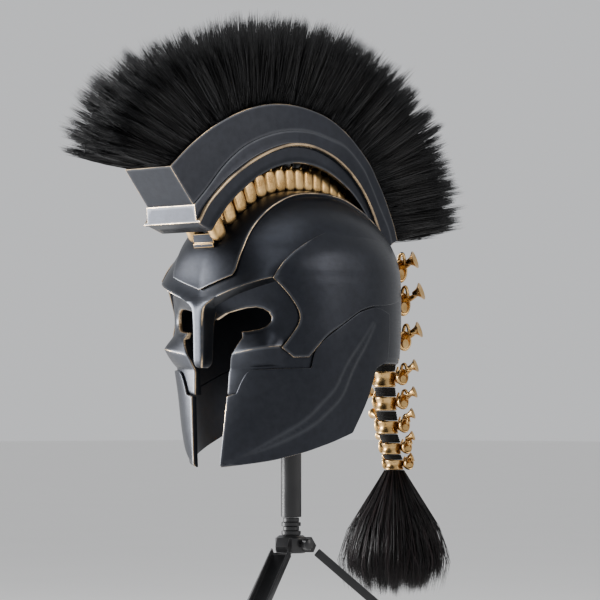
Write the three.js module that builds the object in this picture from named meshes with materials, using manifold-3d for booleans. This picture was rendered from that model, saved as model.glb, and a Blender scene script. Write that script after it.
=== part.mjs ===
// Greek bronze-age style helmet with a crest box, a bone-like spine and a plume, on a plain stand.
// Millimetres. The wearer faces -Y, the wearer's left side is +X, +Z is up.
// Until the very end heights count up from the tips of the cheek guards.
import * as THREE from 'three';
import Module from 'manifold-3d';

const wasm = await Module();
wasm.setup();
const { Manifold, Mesh } = wasm;

// ---- driving dimensions ----
const FLOOR = -279;          // floor under the feet, seen from the cheek tips
const GAP = 0.35;            // clearance between neighbouring pieces
const WALL = 4.5;            // thickness of the skull shell
const INNER_FRONT = 112;     // the hollow stays this close to the axis in front
const PLATE = 3.6;           // how far the raised plates stand off the skull
const UNDER = 1.2;           // underside of a raised plate above the skull, at its corners
const GUARD = 3.0;           // how far the cheek guards stand off the skull
const LIP = 3.0;             // cheek guard thickness behind the skull line, below the rim
const NOSE_HALF = 6.9;       // nose guard front face
const NOSE_ROOT_HALF = 9.2;  // nose guard where it meets the eyes
const NOSE_BOTTOM = 107;
const NOSE_TOP = 172;
const NOSE_FRONT = 138.5;
const NOSE_BACK = 121;

const POST_R = 11;
const PAD_R = 46;
const LEG_ANGLE = 49.2;      // from vertical
const LEG_LENGTH = 271;
const LEG_HEADINGS = [45, 158, 292];

// ---- the skin of the helmet: a row per height, z where the row crosses the nose line,
// the temple and the nape; reach in front (with and without the ridge), side and back;
// roundness of the front and back halves; crease = the row is a sharp fold.
const SKIN_COLUMNS = [
  'nose', 'temple', 'nape', 'front', 'plain', 'side', 'back', 'nf', 'np', 'nb', 'crease',
];
const SKIN = [
  [-2, 8, 45, 126.5, 126.5, 95, 108, 1.75, 1.75, 2.2, 1],          // cheek tips
  [40, 42, 80, 123, 123, 99, 116, 2.1, 2.1, 2.2, 0],
  [77.5, 81, 112, 120.3, 120.3, 102, 121, 2.4, 2.4, 2.2, 0],       // rim of the skull
  [104, 108, 119, 118, 118, 103, 123, 2.8, 2.65, 2.2, 1],          // dip under the cheek ridge
  [114, 129, 132, 121.5, 119, 104, 124, 4.5, 2.8, 2.2, 1],         // cheek ridge
  [140, 146, 146, 118, 119.5, 104.5, 124.5, 2.9, 2.9, 2.2, 0],     // under the eye
  [158, 172, 172, 117, 122, 104.5, 125, 2.9, 2.9, 2.2, 0],         // over the eye
  [166, 196, 196, 123, 127, 104, 125, 3.0, 2.9, 2.2, 1],           // hollow under the brow
  [170, 201, 202, 138, 128, 103.5, 125, 3.2, 2.9, 2.2, 1],         // brow ridge
  [190, 212, 213, 132, 130, 103, 124.5, 2.9, 2.8, 2.15, 0],
  [228, 228, 229, 125, 125, 99.5, 121, 2.45, 2.45, 2.1, 0],
  [245, 245, 245, 116, 116, 93, 113.5, 2.25, 2.25, 2.05, 0],
  [262, 262, 262, 100, 100, 81.5, 99.5, 2.1, 2.1, 2, 0],
  [278, 278, 278, 78, 78, 63, 77, 2, 2, 2, 0],
  [290, 290, 290, 50, 50, 41, 49.5, 2, 2, 2, 0],
  [296.5, 296.5, 296.5, 0.5, 0.5, 0.5, 0.5, 2, 2, 2, 0],           // crown
].map((row) => Object.fromEntries(SKIN_COLUMNS.map((name, k) => [name, row[k]])));

// angle round the axis from the nose line, one side
const HALF_TURN = [
  0, 6, 13, 20, 28, 34, 37, 40, 44, 50, 58, 68, 80, 93, 106, 119, 132, 144, 156, 168, 180,
];

const RIDGE_FULL = 34;       // ridges are full up to this angle and gone at the next one
const RIDGE_GONE = 44;

// ---- half outline of the face opening in a front view: x, z ----
const FACE_OPENING = [
  [18, -10], [18.5, 3], [21.8, 37], [24.7, 77], [25.5, 102], [30.7, 115.7], [44.1, 137.4],
  [41, 144.2], [52.2, 145.1], [61.4, 146.6], [67.7, 149.6], [71.3, 154.8], [71.7, 158.9],
  [69.3, 164.1], [64, 167.8], [57.1, 169.4], [46.1, 168.6], [33.6, 166.2], [19.8, 163.4], [5, 157],
];

// ---- cheek guard: a rib per row, lower end and upper end, angle and height ----
const GUARD_RIBS = [
  [8.9, 3, 12.4, 76.8], [13.4, 4.2, 17.8, 80], [17.6, 5.3, 20.6, 92.4],
  [23, 6.8, 24.8, 103.2], [33, 9.8, 33, 104.8], [42, 13.5, 43, 105.6], [52, 18.2, 55.4, 106.2],
  [57, 20.8, 57.6, 124], [64, 24.8, 63, 136.6],
  [72, 29.2, 71.4, 148], [80, 34, 79.6, 157.4], [88.2, 38.8, 87, 165], [99.5, 73.4, 95.1, 169.4],
  [106, 107, 103, 171], [117.4, 114.9, 114.5, 164.8],
];

// ---- temple plate outline, angle and height along each of its four sides ----
const TEMPLE_LOWER = [
  [46.3, 117], [54.2, 117.4], [57.2, 124.4], [61, 133.4], [66.4, 143], [73, 150.6], [80, 158.6],
  [88, 166.8], [96, 171.2], [104, 172.8], [114, 174.2], [123, 176.4], [132, 179.6], [141, 183.3],
  [150, 187],
];
const TEMPLE_UPPER = [
  [37.4, 198.6], [39.4, 208], [42.3, 217.5], [46, 225.6], [50.5, 232.3], [56, 239], [62.2, 244.7],
  [69, 249.4], [78, 253.8], [89, 256], [101, 256.6], [114, 256], [126, 255], [138, 253], [150, 250],
];
const TEMPLE_FRONT = [
  [46.3, 117], [40.9, 127], [45, 139.5], [48.4, 151], [49.2, 160], [47.6, 170], [43.2, 184],
  [37.4, 198.6],
];
const TEMPLE_REAR = TEMPLE_FRONT.map((_, k) => [150, 187 + (k / (TEMPLE_FRONT.length - 1)) * 63]);

// ---- crown band: distance along Y and half width ----
const BAND = [
  [-125, 46.5], [-119.5, 46.9], [-113, 46.8], [-100, 44.6], [-86, 42.7], [-71, 41], [-56, 40],
  [-41, 39.2], [-26, 38.6], [-11, 38.2], [4, 38], [19, 38], [34, 38], [49, 38],
  [63, 38], [76, 38], [88, 38], [98, 37.5], [107, 37], [114, 36.5], [119.5, 36],
];
const BAND_TIP = 188;              // height of its pointed front end on the brow
const BAND_CORNER = [19, 202.3];   // angle and height of its front corners

// ---- crest: a row per station from the front block to the rear foot ----
// y and z of the top edge, the step, the bead, the lower edge and the tip of the hair
const RECESS = 0.5;          // the underside of the box lies this far up from its lower edge
const CREST_HALF = { top: 34.4, step: 35.9, bead: 42.8, low: 38 };
const CREST = [
  [-208.7, 311.6, -176.5, 273.5, -174.4, 255, -153, 247.3, -304, 324],
  [-180.8, 334.8, -158, 291, -160.4, 275.7, -140.2, 263.4, -298, 378],
  [-152.6, 353.6, -135, 315, -135, 298.5, -124.4, 279.7, -255, 418],
  [-124, 368, -110.9, 333.7, -113, 313.5, -105.7, 294.2, -190, 449],
  [-95, 378.8, -88, 345.5, -88.5, 326.8, -85, 307.5, -122, 471],
  [-65.7, 385.1, -60, 354.5, -62, 337.5, -60, 318.5, -66, 483],
  [-36, 386.6, -33, 359, -36, 343.5, -33, 324.5, -14, 488],
  [-5.9, 383.4, -5, 359, -7, 342.6, -6, 323.6, 42, 484],
  [24.6, 375.2, 23.1, 353.5, 20, 335, 17, 318, 98, 470],
  [55.4, 358.9, 50, 345.5, 43, 323.5, 38, 308.5, 152, 446],
  [86.7, 333.6, 77, 325, 62.2, 310.1, 57, 298, 204, 407],
  [102.4, 315.9, 93, 306, 79, 294.5, 75, 283.8, 232, 364],
  [118.2, 294.8, 108, 285, 93.5, 276.9, 88, 271, 252, 324],
  [134.2, 265.9, 124, 262, 107, 255, 99, 253, 261, 285],
  [140.6, 249.7, 131, 245, 117, 238, 108, 240, 257, 267],
];

const ARCH_COUNT = 16;
const ARCH_SPAN = [-117.5, 75.4];  // first and last vertebra along Y
const ARCH_BUNCH = 0.14;           // they stand closer together behind
const ARCH_TALL = 23;

// ---- hanging spine: y, z, centrum radius, height, reach and rise of the side processes ----
const TAIL = [
  [141, 212.5, 13, 24, 41, 15], [146, 176, 13, 24, 46, 17], [148, 136, 13, 22, 41, 15],
  [146, 97, 12.4, 17.5, 38, 14.5], [148, 70, 12, 15.5, 35, 12.5], [151, 44, 11.6, 14.5, 29.5, 15],
  [156.4, 20.5, 11, 12.5, 25, 14], [161, 2.5, 10.4, 11, 19.5, 8.5],
];

// ---- tassel: a row per height, radius and how far the locks stand apart ----
const TASSEL_Y = 161;
const TASSEL = [
  [-4, 9.5, 0.04], [-12, 12, 0.08], [-30, 22, 0.12], [-55, 37, 0.14], [-84, 48, 0.16],
  [-112, 50, 0.2], [-130, 40, 0.34], [-146, 26, 0.4],
];

// ---- finishes ----
const FINISH = {
  gunmetal: [0x2b2f3a, 0.42, 0.85],
  plate: [0x30343f, 0.4, 0.85],
  gold: [0xb8924a, 0.35, 1],
  hair: [0x17171b, 0.75, 0],
  disc: [0x151416, 0.85, 0],
  stand: [0x1c1c1e, 0.45, 0.3],
  rubber: [0x101010, 0.9, 0],
};

const rad = (deg) => (deg * Math.PI) / 180;
const mix = (a, b, t) => a + (b - a) * t;
const clamp = (t) => Math.min(1, Math.max(0, t));
const smooth = (t) => clamp(t) ** 2 * (3 - 2 * clamp(t));

// ---- the skin as a function of angle and row ----
function skinRow(v) {
  const i = Math.min(SKIN.length - 2, Math.floor(v));
  const t = v - i;
  const row = {};
  for (const name of SKIN_COLUMNS) {
    const at = (k) => SKIN[Math.min(SKIN.length - 1, Math.max(0, k))][name];
    const step = at(i + 1) - at(i);
    const m0 = SKIN[i].crease ? step : (at(i + 1) - at(i - 1)) / 2;
    const m1 = SKIN[i + 1].crease ? step : (at(i + 2) - at(i)) / 2;
    row[name] = at(i) * (2 * t ** 3 - 3 * t ** 2 + 1) + m0 * (t ** 3 - 2 * t ** 2 + t)
      + at(i + 1) * (3 * t ** 2 - 2 * t ** 3) + m1 * (t ** 3 - t ** 2);
  }
  return row;
}

function reach(theta, front, side, n) {
  const s = Math.abs(Math.sin(rad(theta)));
  const c = Math.abs(Math.cos(rad(theta)));
  return 1 / ((s / side) ** n + (c / front) ** n) ** (1 / n);
}

// point of the skin at an angle and row, moved outwards by off; limit keeps the front reach down
function skin(theta, v, off = 0, limit = Infinity) {
  const row = skinRow(v);
  const turn = Math.abs(theta);
  const rise = 1 - (1 - clamp(turn / 40)) ** 1.2;
  const fall = smooth((turn - 40) / 70);
  const z = row.nose + (row.temple - row.nose) * rise + (row.nape - row.temple) * fall;
  const ridge = 1 - smooth((turn - RIDGE_FULL) / (RIDGE_GONE - RIDGE_FULL));
  const front = Math.min(limit, mix(row.plain, row.front, ridge));
  const r = turn < 90
    ? reach(theta, front, row.side, mix(row.np, row.nf, ridge))
    : reach(theta, row.back, row.side, row.nb);
  const x = Math.sin(rad(theta)) * r;
  const y = -Math.cos(rad(theta)) * r;
  const away = new THREE.Vector3(x, y, Math.max(0, z - 200)).normalize();
  return [x + away.x * off, y + away.y * off, z + away.z * off];
}

function bisect(f, lo, hi) {
  for (let k = 0; k < 40; k += 1) {
    const mid = (lo + hi) / 2;
    if (f(mid) > 0) hi = mid;
    else lo = mid;
  }
  return (lo + hi) / 2;
}

const rowAtHeight = (theta, z) => bisect((v) => skin(theta, v)[2] - z, 0, SKIN.length - 1);
const skinAtHeight = (theta, z, off) => skin(theta, rowAtHeight(theta, z), off);

// point of the upper skin over a plan position
function skinOver(x, y, off) {
  const theta = THREE.MathUtils.radToDeg(Math.atan2(x, -y));
  const far = Math.hypot(x, y);
  const v = bisect((w) => far - Math.hypot(...skin(theta, w).slice(0, 2)), 8, SKIN.length - 1);
  return skin(theta, v, off);
}

// ---- making closed solids ----
function signedVolume(points, faces) {
  let sum = 0;
  for (const [a, b, c] of faces) {
    const [p, q, r] = [points[a], points[b], points[c]];
    sum += p[0] * (q[1] * r[2] - q[2] * r[1]) - p[1] * (q[0] * r[2] - q[2] * r[0])
      + p[2] * (q[0] * r[1] - q[1] * r[0]);
  }
  return sum;
}

function solid(points, faces) {
  const out = signedVolume(points, faces) < 0 ? faces.map(([a, b, c]) => [a, c, b]) : faces;
  return new Manifold(new Mesh({
    numProp: 3,
    vertProperties: new Float32Array(points.flat()),
    triVerts: new Uint32Array(out.flat()),
  }));
}

// rings of equal length joined in order; both ends closed round a middle point, or for
// mirrored rings by rungs from side to side
function loft(rings, rungs = false) {
  const n = rings[0].length;
  const points = rings.flat();
  const faces = [];
  for (let i = 0; i + 1 < rings.length; i += 1) {
    for (let k = 0; k < n; k += 1) {
      const a = i * n + k;
      const b = i * n + ((k + 1) % n);
      faces.push([a, b, b + n], [a, b + n, a + n]);
    }
  }
  for (const [ring, base, flip] of [[rings[0], 0, true], [rings.at(-1), (rings.length - 1) * n, false]]) {
    if (rungs) {
      for (let k = 0; k + 1 < n / 2; k += 1) {
        const [a, b, c, d] = [base + k, base + k + 1, base + n - 2 - k, base + n - 1 - k];
        faces.push(...(flip ? [[a, c, b], [a, d, c]] : [[a, b, c], [a, c, d]]));
      }
      continue;
    }
    const middle = [0, 1, 2].map((axis) => ring.reduce((sum, p) => sum + p[axis], 0) / n);
    points.push(middle);
    for (let k = 0; k < n; k += 1) {
      const a = base + k;
      const b = base + ((k + 1) % n);
      faces.push(flip ? [b, a, points.length - 1] : [a, b, points.length - 1]);
    }
  }
  return solid(points, faces);
}

// a curved plate from matching grids of outer and inner points
function plate(outer, inner) {
  const rows = outer.length;
  const cols = outer[0].length;
  const points = [...outer.flat(), ...inner.flat()];
  const half = rows * cols;
  const faces = [];
  for (let i = 0; i + 1 < rows; i += 1) {
    for (let k = 0; k + 1 < cols; k += 1) {
      const a = i * cols + k;
      faces.push([a, a + 1, a + cols + 1], [a, a + cols + 1, a + cols]);
      const b = half + a;
      faces.push([b, b + cols + 1, b + 1], [b, b + cols, b + cols + 1]);
    }
  }
  const edge = [];
  for (let k = 0; k < cols; k += 1) edge.push(k);
  for (let i = 1; i < rows; i += 1) edge.push(i * cols + cols - 1);
  for (let k = cols - 2; k >= 0; k -= 1) edge.push((rows - 1) * cols + k);
  for (let i = rows - 2; i > 0; i -= 1) edge.push(i * cols);
  edge.forEach((a, k) => {
    const b = edge[(k + 1) % edge.length];
    faces.push([a, half + b, b], [a, half + a, half + b]);
  });
  return solid(points, faces);
}

// an outline in two axes pushed along the third; place turns (u, v, w) into a point
function prism(drawn, from, to, place) {
  const clockwise = THREE.ShapeUtils.isClockWise(drawn.map(([u, v]) => new THREE.Vector2(u, v)));
  const outline = clockwise ? [...drawn].reverse() : drawn;
  const corners = outline.map(([u, v]) => new THREE.Vector2(u, v));
  const flat = THREE.ShapeUtils.triangulateShape(corners, []);
  const n = outline.length;
  const points = [from, to].flatMap((w) => outline.map(([u, v]) => place(u, v, w)));
  const faces = [];
  for (const [a, b, c] of flat) faces.push([a, c, b], [a + n, b + n, c + n]);
  for (let k = 0; k < n; k += 1) {
    const m = (k + 1) % n;
    faces.push([k, m, m + n], [k, m + n, k + n]);
  }
  return solid(points, faces);
}

const frontView = (u, v, w) => [u, w, v];
const mirrored = (outline) => [...outline, ...outline.map(([x, ...rest]) => [-x, ...rest]).reverse()];

// turned profile of radius and height about an upright axis
function turned(profile, sides, x = 0, y = 0) {
  return loft(profile.map(([r, z]) => Array.from({ length: sides }, (_, k) => {
    const a = (2 * Math.PI * k) / sides;
    return [x + r * Math.cos(a), y + r * Math.sin(a), z];
  })));
}

// tapered bar through a list of stations: point and two half sizes, seen across the travel
function bar(stations, sides, up = [0, 0, 1]) {
  const pts = stations.map(([p]) => new THREE.Vector3(...p));
  return loft(stations.map(([, a, b], i) => {
    const dir = pts[Math.min(i + 1, pts.length - 1)].clone().sub(pts[Math.max(i - 1, 0)]).normalize();
    const side = new THREE.Vector3().crossVectors(dir, new THREE.Vector3(...up)).normalize();
    const top = new THREE.Vector3().crossVectors(side, dir);
    return Array.from({ length: sides }, (_, k) => {
      const t = (2 * Math.PI * (k + 0.5)) / sides;
      const spoke = side.clone().multiplyScalar(a * Math.cos(t)).addScaledVector(top, b * Math.sin(t));
      return spoke.add(pts[i]).toArray();
    });
  }));
}

const joined = (list) => Manifold.union(list);

// ---- skull shell ----
const TURN = [...HALF_TURN.slice(1, -1).map((t) => -t).reverse(), ...HALF_TURN];
const SHELL_ROWS = [
  2, 3, 4, 4.5, 5, 6, 6.5, 7, 8, 9, 9.5, 10, 10.5, 11, 11.5, 12, 12.6, 13.2, 13.8, 14.4,
];
const RIM_BELOW = 1.96;      // the clearance reaches a little under the rim
const INNER_ROWS = [2, 4, 6, 9, 10, 11, 12, 13, 14];

function skullShell() {
  const points = [];
  const faces = [];
  const n = TURN.length;
  const ring = (v, off, limit) => TURN.forEach((t) => points.push(skin(t, v, off, limit)));
  SHELL_ROWS.forEach((v) => ring(v, 0, Infinity));
  INNER_ROWS.forEach((v) => ring(v, -WALL, INNER_FRONT + WALL));
  const crown = SKIN.at(-1).nose;
  points.push([0, 0, crown], [0, 0, crown - WALL]);
  const first = SHELL_ROWS.length * n;
  const strip = (a0, b0, flip) => {
    for (let k = 0; k < n; k += 1) {
      const m = (k + 1) % n;
      const quad = [[a0 + k, a0 + m, b0 + m], [a0 + k, b0 + m, b0 + k]];
      quad.forEach(([a, b, c]) => faces.push(flip ? [a, c, b] : [a, b, c]));
    }
  };
  for (let i = 0; i + 1 < SHELL_ROWS.length; i += 1) strip(i * n, (i + 1) * n, false);
  for (let i = 0; i + 1 < INNER_ROWS.length; i += 1) strip(first + i * n, first + (i + 1) * n, true);
  strip(0, first, true);
  for (let k = 0; k < n; k += 1) {
    const m = (k + 1) % n;
    faces.push([first - n + k, first - n + m, points.length - 2]);
    const top = first + (INNER_ROWS.length - 1) * n;
    faces.push([top + m, top + k, points.length - 1]);
  }
  const opening = prism(mirrored(FACE_OPENING), -175, -30, frontView);
  return joined([solid(points, faces).subtract(opening), noseGuard()]);
}

// bar hanging from the brow: a row per height, half width in front and behind, front and back reach
function noseGuard() {
  const rows = [
    [NOSE_BOTTOM, NOSE_HALF - 3.2, NOSE_FRONT - 2.6, NOSE_BACK + 4],
    [NOSE_BOTTOM + 3.4, NOSE_HALF, NOSE_FRONT - 0.5, NOSE_BACK + 2],
    [135, NOSE_HALF, NOSE_FRONT, NOSE_BACK + 1],
    [157, NOSE_HALF + 0.3, NOSE_FRONT + 0.5, NOSE_BACK],
    [NOSE_TOP, NOSE_ROOT_HALF, NOSE_FRONT - 2, NOSE_BACK - 3],
  ];
  return loft(rows.map(([z, half, front, back]) => [
    [half - 1.2, -front, z], [half, -front + 1.6, z], [half + 0.6, -back, z],
    [-half - 0.6, -back, z], [-half, -front + 1.6, z], [-half + 1.2, -front, z],
  ]));
}

// ---- cheek guards ----
function cheekGuard(side, envelope) {
  const rows = 4;
  const steps = Array.from({ length: rows + 1 }, (_, k) => k / rows);
  const grid = (off) => GUARD_RIBS.map(([t0, z0, t1, z1]) => steps.map((f) => {
    const [x, y, height] = skinAtHeight(mix(t0, t1, f), mix(z0, z1, f), off);
    return [side * x, y, height];
  }));
  return plate(grid(GUARD), grid(-LIP)).subtract(envelope);
}

// ---- temple plates: raised at the front, melting into the skull behind ----
function templeLift(theta, z) {
  const back = 1 - smooth((theta - 88) / 60);
  const top = 1 - smooth((z - 222) / 30) * smooth((theta - 46) / 26);
  const proud = 0.8 * (1 - smooth((theta - 44) / 14));
  return mix(UNDER + 0.6, PLATE + proud, back * top);
}

function templePlate(side) {
  const rows = TEMPLE_FRONT.length - 1;
  const cols = TEMPLE_LOWER.length - 1;
  const spot = (i, k, axis) => {
    const [u, v] = [k / cols, i / rows];
    const sides = mix(TEMPLE_FRONT[i][axis], TEMPLE_REAR[i][axis], u);
    const ends = mix(TEMPLE_LOWER[k][axis], TEMPLE_UPPER[k][axis], v);
    const corners = mix(
      mix(TEMPLE_LOWER[0][axis], TEMPLE_LOWER[cols][axis], u),
      mix(TEMPLE_UPPER[0][axis], TEMPLE_UPPER[cols][axis], u),
      v,
    );
    return sides + ends - corners;
  };
  const grid = (offset) => TEMPLE_FRONT.map((_, i) => TEMPLE_LOWER.map((__, k) => {
    const [theta, z] = [spot(i, k, 0), spot(i, k, 1)];
    const [x, y, height] = skinAtHeight(theta, z, offset(theta, z));
    return [side * x, y, height];
  }));
  const under = (theta) => UNDER + 1.6 * (1 - smooth((theta - 46) / 12));
  return plate(grid(templeLift), grid(under));
}

// ---- crown band ----
function crownBand() {
  const cols = 6;
  const across = Array.from({ length: cols + 1 }, (_, k) => mix(-1, 1, k / cols));
  const [corner, shoulder] = BAND_CORNER;
  const grid = (off) => [
    across.map((u) => skinAtHeight(u * corner, mix(BAND_TIP, shoulder, Math.abs(u)), off)),
    ...BAND.map(([y, half]) => across.map((u) => skinOver(u * half, y, off))),
  ];
  return plate(grid(PLATE), grid(UNDER + 0.4));
}

// the skull grown by off and closed below, used to clear room for what is fitted to it
function skullEnvelope(off) {
  const rows = [
    [RIM_BELOW, -2 * WALL], [RIM_BELOW, off], ...SHELL_ROWS.map((v) => [v, off]), [SKIN.length - 1, off],
  ];
  return loft(rows.map(([v, out]) => TURN.map((t) => skin(t, v, out))));
}

// ---- crest ----
const crestPoint = (row, k) => [row[2 * k], row[2 * k + 1]];

function crestBox(clearance) {
  const { top, step, bead, low } = CREST_HALF;
  const last = CREST.length - 1;
  const rings = CREST.map((row, i) => {
    const taper = mix(1, 0.72, smooth((i - 8) / (last - 8)));
    const [a, b, c, d] = [0, 1, 2, 3].map((k) => crestPoint(row, k));
    const near = [
      [top, ...a], [step - 0.6, ...b], [step, mix(b[0], c[0], 0.12), mix(b[1], c[1], 0.12)],
      [step + 1.2, mix(b[0], c[0], 0.82), mix(b[1], c[1], 0.82)], [bead, ...c],
      [bead - 0.6, mix(c[0], d[0], 0.14), mix(c[1], d[1], 0.14)], [low, ...d],
      [low - 4, ...d], [low - 6, mix(d[0], c[0], RECESS), mix(d[1], c[1], RECESS)],
    ].map(([x, y, z]) => [x * taper, y, z]);
    return mirrored(near);
  });
  return loft(rings, true).subtract(clearance);
}

function spineBracket(clearance) {
  const side = [
    [-133, 246.4], [-128.5, 237.4], [-130.5, 236.4], [-129, 232.5], [-121, 232.5], [-128.5, 246.4],
  ];
  return prism(side, -14.9, 14.9, (u, v, w) => [w, u, v]).subtract(clearance);
}

// hair: locks grow from the crest box, long and short by turns on the two sides
const HAIR_STEPS = 3;

function crestPlume() {
  const rings = [];
  const last = CREST.length - 1;
  for (let s = 0; s <= last * HAIR_STEPS; s += 1) {
    const i = Math.min(last - 1, Math.floor(s / HAIR_STEPS));
    const t = s / HAIR_STEPS - i;
    const row = CREST[i].map((value, k) => mix(value, CREST[i + 1][k], t));
    const [y0, z0] = crestPoint(row, 0);
    const [y1, z1] = crestPoint(row, 4);
    const [sy, sz] = crestPoint(row, 1);
    const lift = 0.5 / Math.hypot(y0 - sy, z0 - sz);
    const root = [y0 + (y0 - sy) * lift, z0 + (z0 - sz) * lift];
    const at = (f) => [mix(root[0], y1, f), mix(root[1], z1, f)];
    const wave = s % 2;
    const narrow = mix(1, 0.72, smooth((s / HAIR_STEPS - 8) / (last - 8)));
    const left = wave ? 0.99 : 0.91;
    const right = wave ? 0.92 : 1;
    rings.push([
      [30, 0], [35 - wave, 0.35], [41 + 2 * wave, 0.72], [27, left], [9, 0.9 - 0.04 * wave],
      [-9, 0.86 + 0.04 * wave], [-27, right], [-41 - 2 * (1 - wave), 0.72], [-35 + wave, 0.35], [-30, 0],
    ].map(([x, f]) => [x * narrow, ...at(f)]));
  }
  return loft(rings, true);
}

// ---- spine along the underside of the crest ----
function crestUnderside(y) {
  const marks = CREST.map((row) => {
    const [bead, low] = [crestPoint(row, 2), crestPoint(row, 3)];
    return [mix(low[0], bead[0], RECESS), mix(low[1], bead[1], RECESS)];
  });
  const i = Math.max(0, marks.findIndex((m) => m[0] > y) - 1);
  return mix(marks[i][1], marks[i + 1][1], (y - marks[i][0]) / (marks[i + 1][0] - marks[i][0]));
}

// a bow across the crest with a lobe hanging at each end, its feet just clear of the crown band
function archVertebra(k) {
  const t = k / (ARCH_COUNT - 1);
  const y = mix(...ARCH_SPAN, t + ARCH_BUNCH * t * (1 - t));
  const [, ly, lz] = skinOver(18, y, PLATE + 1.4);
  const tall = Math.min(ARCH_TALL, crestUnderside(ly) - lz - 5);
  const steep = Math.PI / 2 + mix(0.5, -0.34, t);
  const dir = [Math.cos(steep), Math.sin(steep)];
  const place = (x, along, out) => [
    x, ly + dir[0] * out + dir[1] * along, lz + dir[1] * out - dir[0] * along,
  ];
  const drop = [[0, -1], [0.8, -0.5], [0.85, 0.5], [0, 1], [-0.85, 0.5], [-0.8, -0.5]];
  const lobe = (x, mid, wide, high) => drop.map(([a, o]) => place(x, a * wide, tall * (mid + o * high)));
  const half = [[11, 0.8, 4.4, 0.18], [16, 0.5, 7.4, 0.47], [20.5, 0.46, 6.2, 0.4]];
  const other = half.map(([x, ...rest]) => lobe(-x, ...rest)).reverse();
  return loft([...other, ...half.map((h) => lobe(...h))]);
}

// ---- hanging spine ----
function tailVertebra([y, z, r, h, span, rise]) {
  const waist = r * 0.8;
  const spool = turned(
    [[r, z - h / 2], [waist, z - h * 0.14], [waist, z + h * 0.14], [r, z + h / 2]], 10, 0, y,
  );
  const root = [0, y + r * 1.3, z + h * 0.1];
  const arch = bar([
    [[-r * 1.95, y + r * 0.5, z], r * 0.4, h * 0.46],
    [[0, y + r * 1.1, z], r * 0.62, h * 0.42],
    [[r * 1.95, y + r * 0.5, z], r * 0.4, h * 0.46],
  ], 6);
  const sides = [-1, 1].map((s) => bar([
    [[s * r * 0.5, root[1], root[2]], 3, 3.4],
    [[s * (span - 5), y + r * 0.75, z + rise - 2], 2.2, 2.6],
    [[s * (span + 1), y + r * 0.66, z + rise], 5.6, 6.4],
  ], 5));
  const spur = bar([[root, 3, 3.4], [[0, y + r * 1.75, z + h * 0.8], 1.6, 2.2]], 4, [1, 0, 0]);
  return joined([spool, arch, spur, ...sides]);
}

function tailDisc(k) {
  const [y0, z0, r0, h0] = TAIL[k];
  const [y1, z1, r1, h1] = TAIL[k + 1];
  const top = z0 - h0 / 2 - GAP;
  const low = z1 + h1 / 2 + GAP;
  return loft([0, 1].map((t) => Array.from({ length: 10 }, (_, j) => {
    const a = (Math.PI * j) / 5;
    const r = mix(r0, r1, t) * 0.8;
    return [r * Math.cos(a), mix(y0, y1, t) + r * Math.sin(a), mix(top, low, t)];
  })));
}

function tassel() {
  const locks = 18;
  return loft(TASSEL.map(([z, r, apart], i) => Array.from({ length: locks }, (_, k) => {
    const a = (2 * Math.PI * k) / locks;
    const radius = r * (k % 2 ? 1 - apart : 1);
    const tip = i === TASSEL.length - 1 && k % 2 ? 14 : 0;
    return [radius * Math.cos(a), TASSEL_Y + radius * Math.sin(a), z + tip];
  })));
}

// ---- stand ----
const COLLAR_TOP = -52;
const COLLAR_LOW = -71;
const HUB_LOW = -90;

function standPost() {
  const crown = SKIN.at(-1).nose - WALL - GAP;
  return turned([
    [POST_R, COLLAR_TOP + GAP], [POST_R, 272], [PAD_R, 277], [PAD_R, 281], [30, 284.4], [3, crown - 4.4],
  ], 16);
}

function standCollar() {
  const step = (COLLAR_TOP - COLLAR_LOW) / 4;
  const rings = [10.4, 8.6, 10.4, 8.6];
  const low = (k) => COLLAR_LOW + k * step;
  return turned(rings.flatMap((r, k) => [[r, low(k) + GAP], [r, low(k + 1) - 0.2]]), 12);
}

const heading = (deg) => [Math.cos(rad(deg)), Math.sin(rad(deg))];

function standHub() {
  const core = turned([[15, HUB_LOW], [17, HUB_LOW + 2.5], [17, COLLAR_LOW - 3], [13, COLLAR_LOW]], 14);
  const lugs = LEG_HEADINGS.map((deg) => {
    const [c, s] = heading(deg);
    const place = (u, v, w) => [u * c - w * s, u * s + w * c, v];
    const [low, high] = [HUB_LOW + 1, COLLAR_LOW - 2];
    return prism([[8, low], [24, low], [27, low + 7], [22, high], [8, high]], -7, 7, place);
  });
  return joined([core, ...lugs]);
}

function standKnob() {
  const rows = [[17.4, 4], [21, 4], [21.5, 6.5], [28, 6.5], [29.5, 4.5]];
  return loft(rows.map(([x, r]) => Array.from({ length: 10 }, (_, k) => {
    const a = (Math.PI * k) / 5;
    return [x, r * Math.cos(a), COLLAR_LOW - 9 + r * Math.sin(a)];
  })));
}

// channel section leg, open on its upper side
function legFrame(deg) {
  const [c, s] = heading(deg);
  const out = Math.sin(rad(LEG_ANGLE));
  const dir = new THREE.Vector3(c * out, s * out, -Math.cos(rad(LEG_ANGLE)));
  const across = new THREE.Vector3(-s, c, 0);
  const over = new THREE.Vector3().crossVectors(across, dir).negate();
  if (over.z < 0) over.negate();
  const start = new THREE.Vector3(c * 27.5, s * 27.5, HUB_LOW + 1);
  return { dir, across, over, start };
}

function standLeg(deg) {
  const { dir, across, over, start } = legFrame(deg);
  const section = [
    [-11, 4.2], [-11, -4.2], [11, -4.2], [11, 4.2], [9, 4.2], [9, -1.8], [-9, -1.8], [-9, 4.2],
  ];
  const place = (u, v, w) => {
    const p = start.clone().addScaledVector(across, u).addScaledVector(over, v);
    return p.addScaledVector(dir, w).toArray();
  };
  return prism(section, 0, LEG_LENGTH, place);
}

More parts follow.
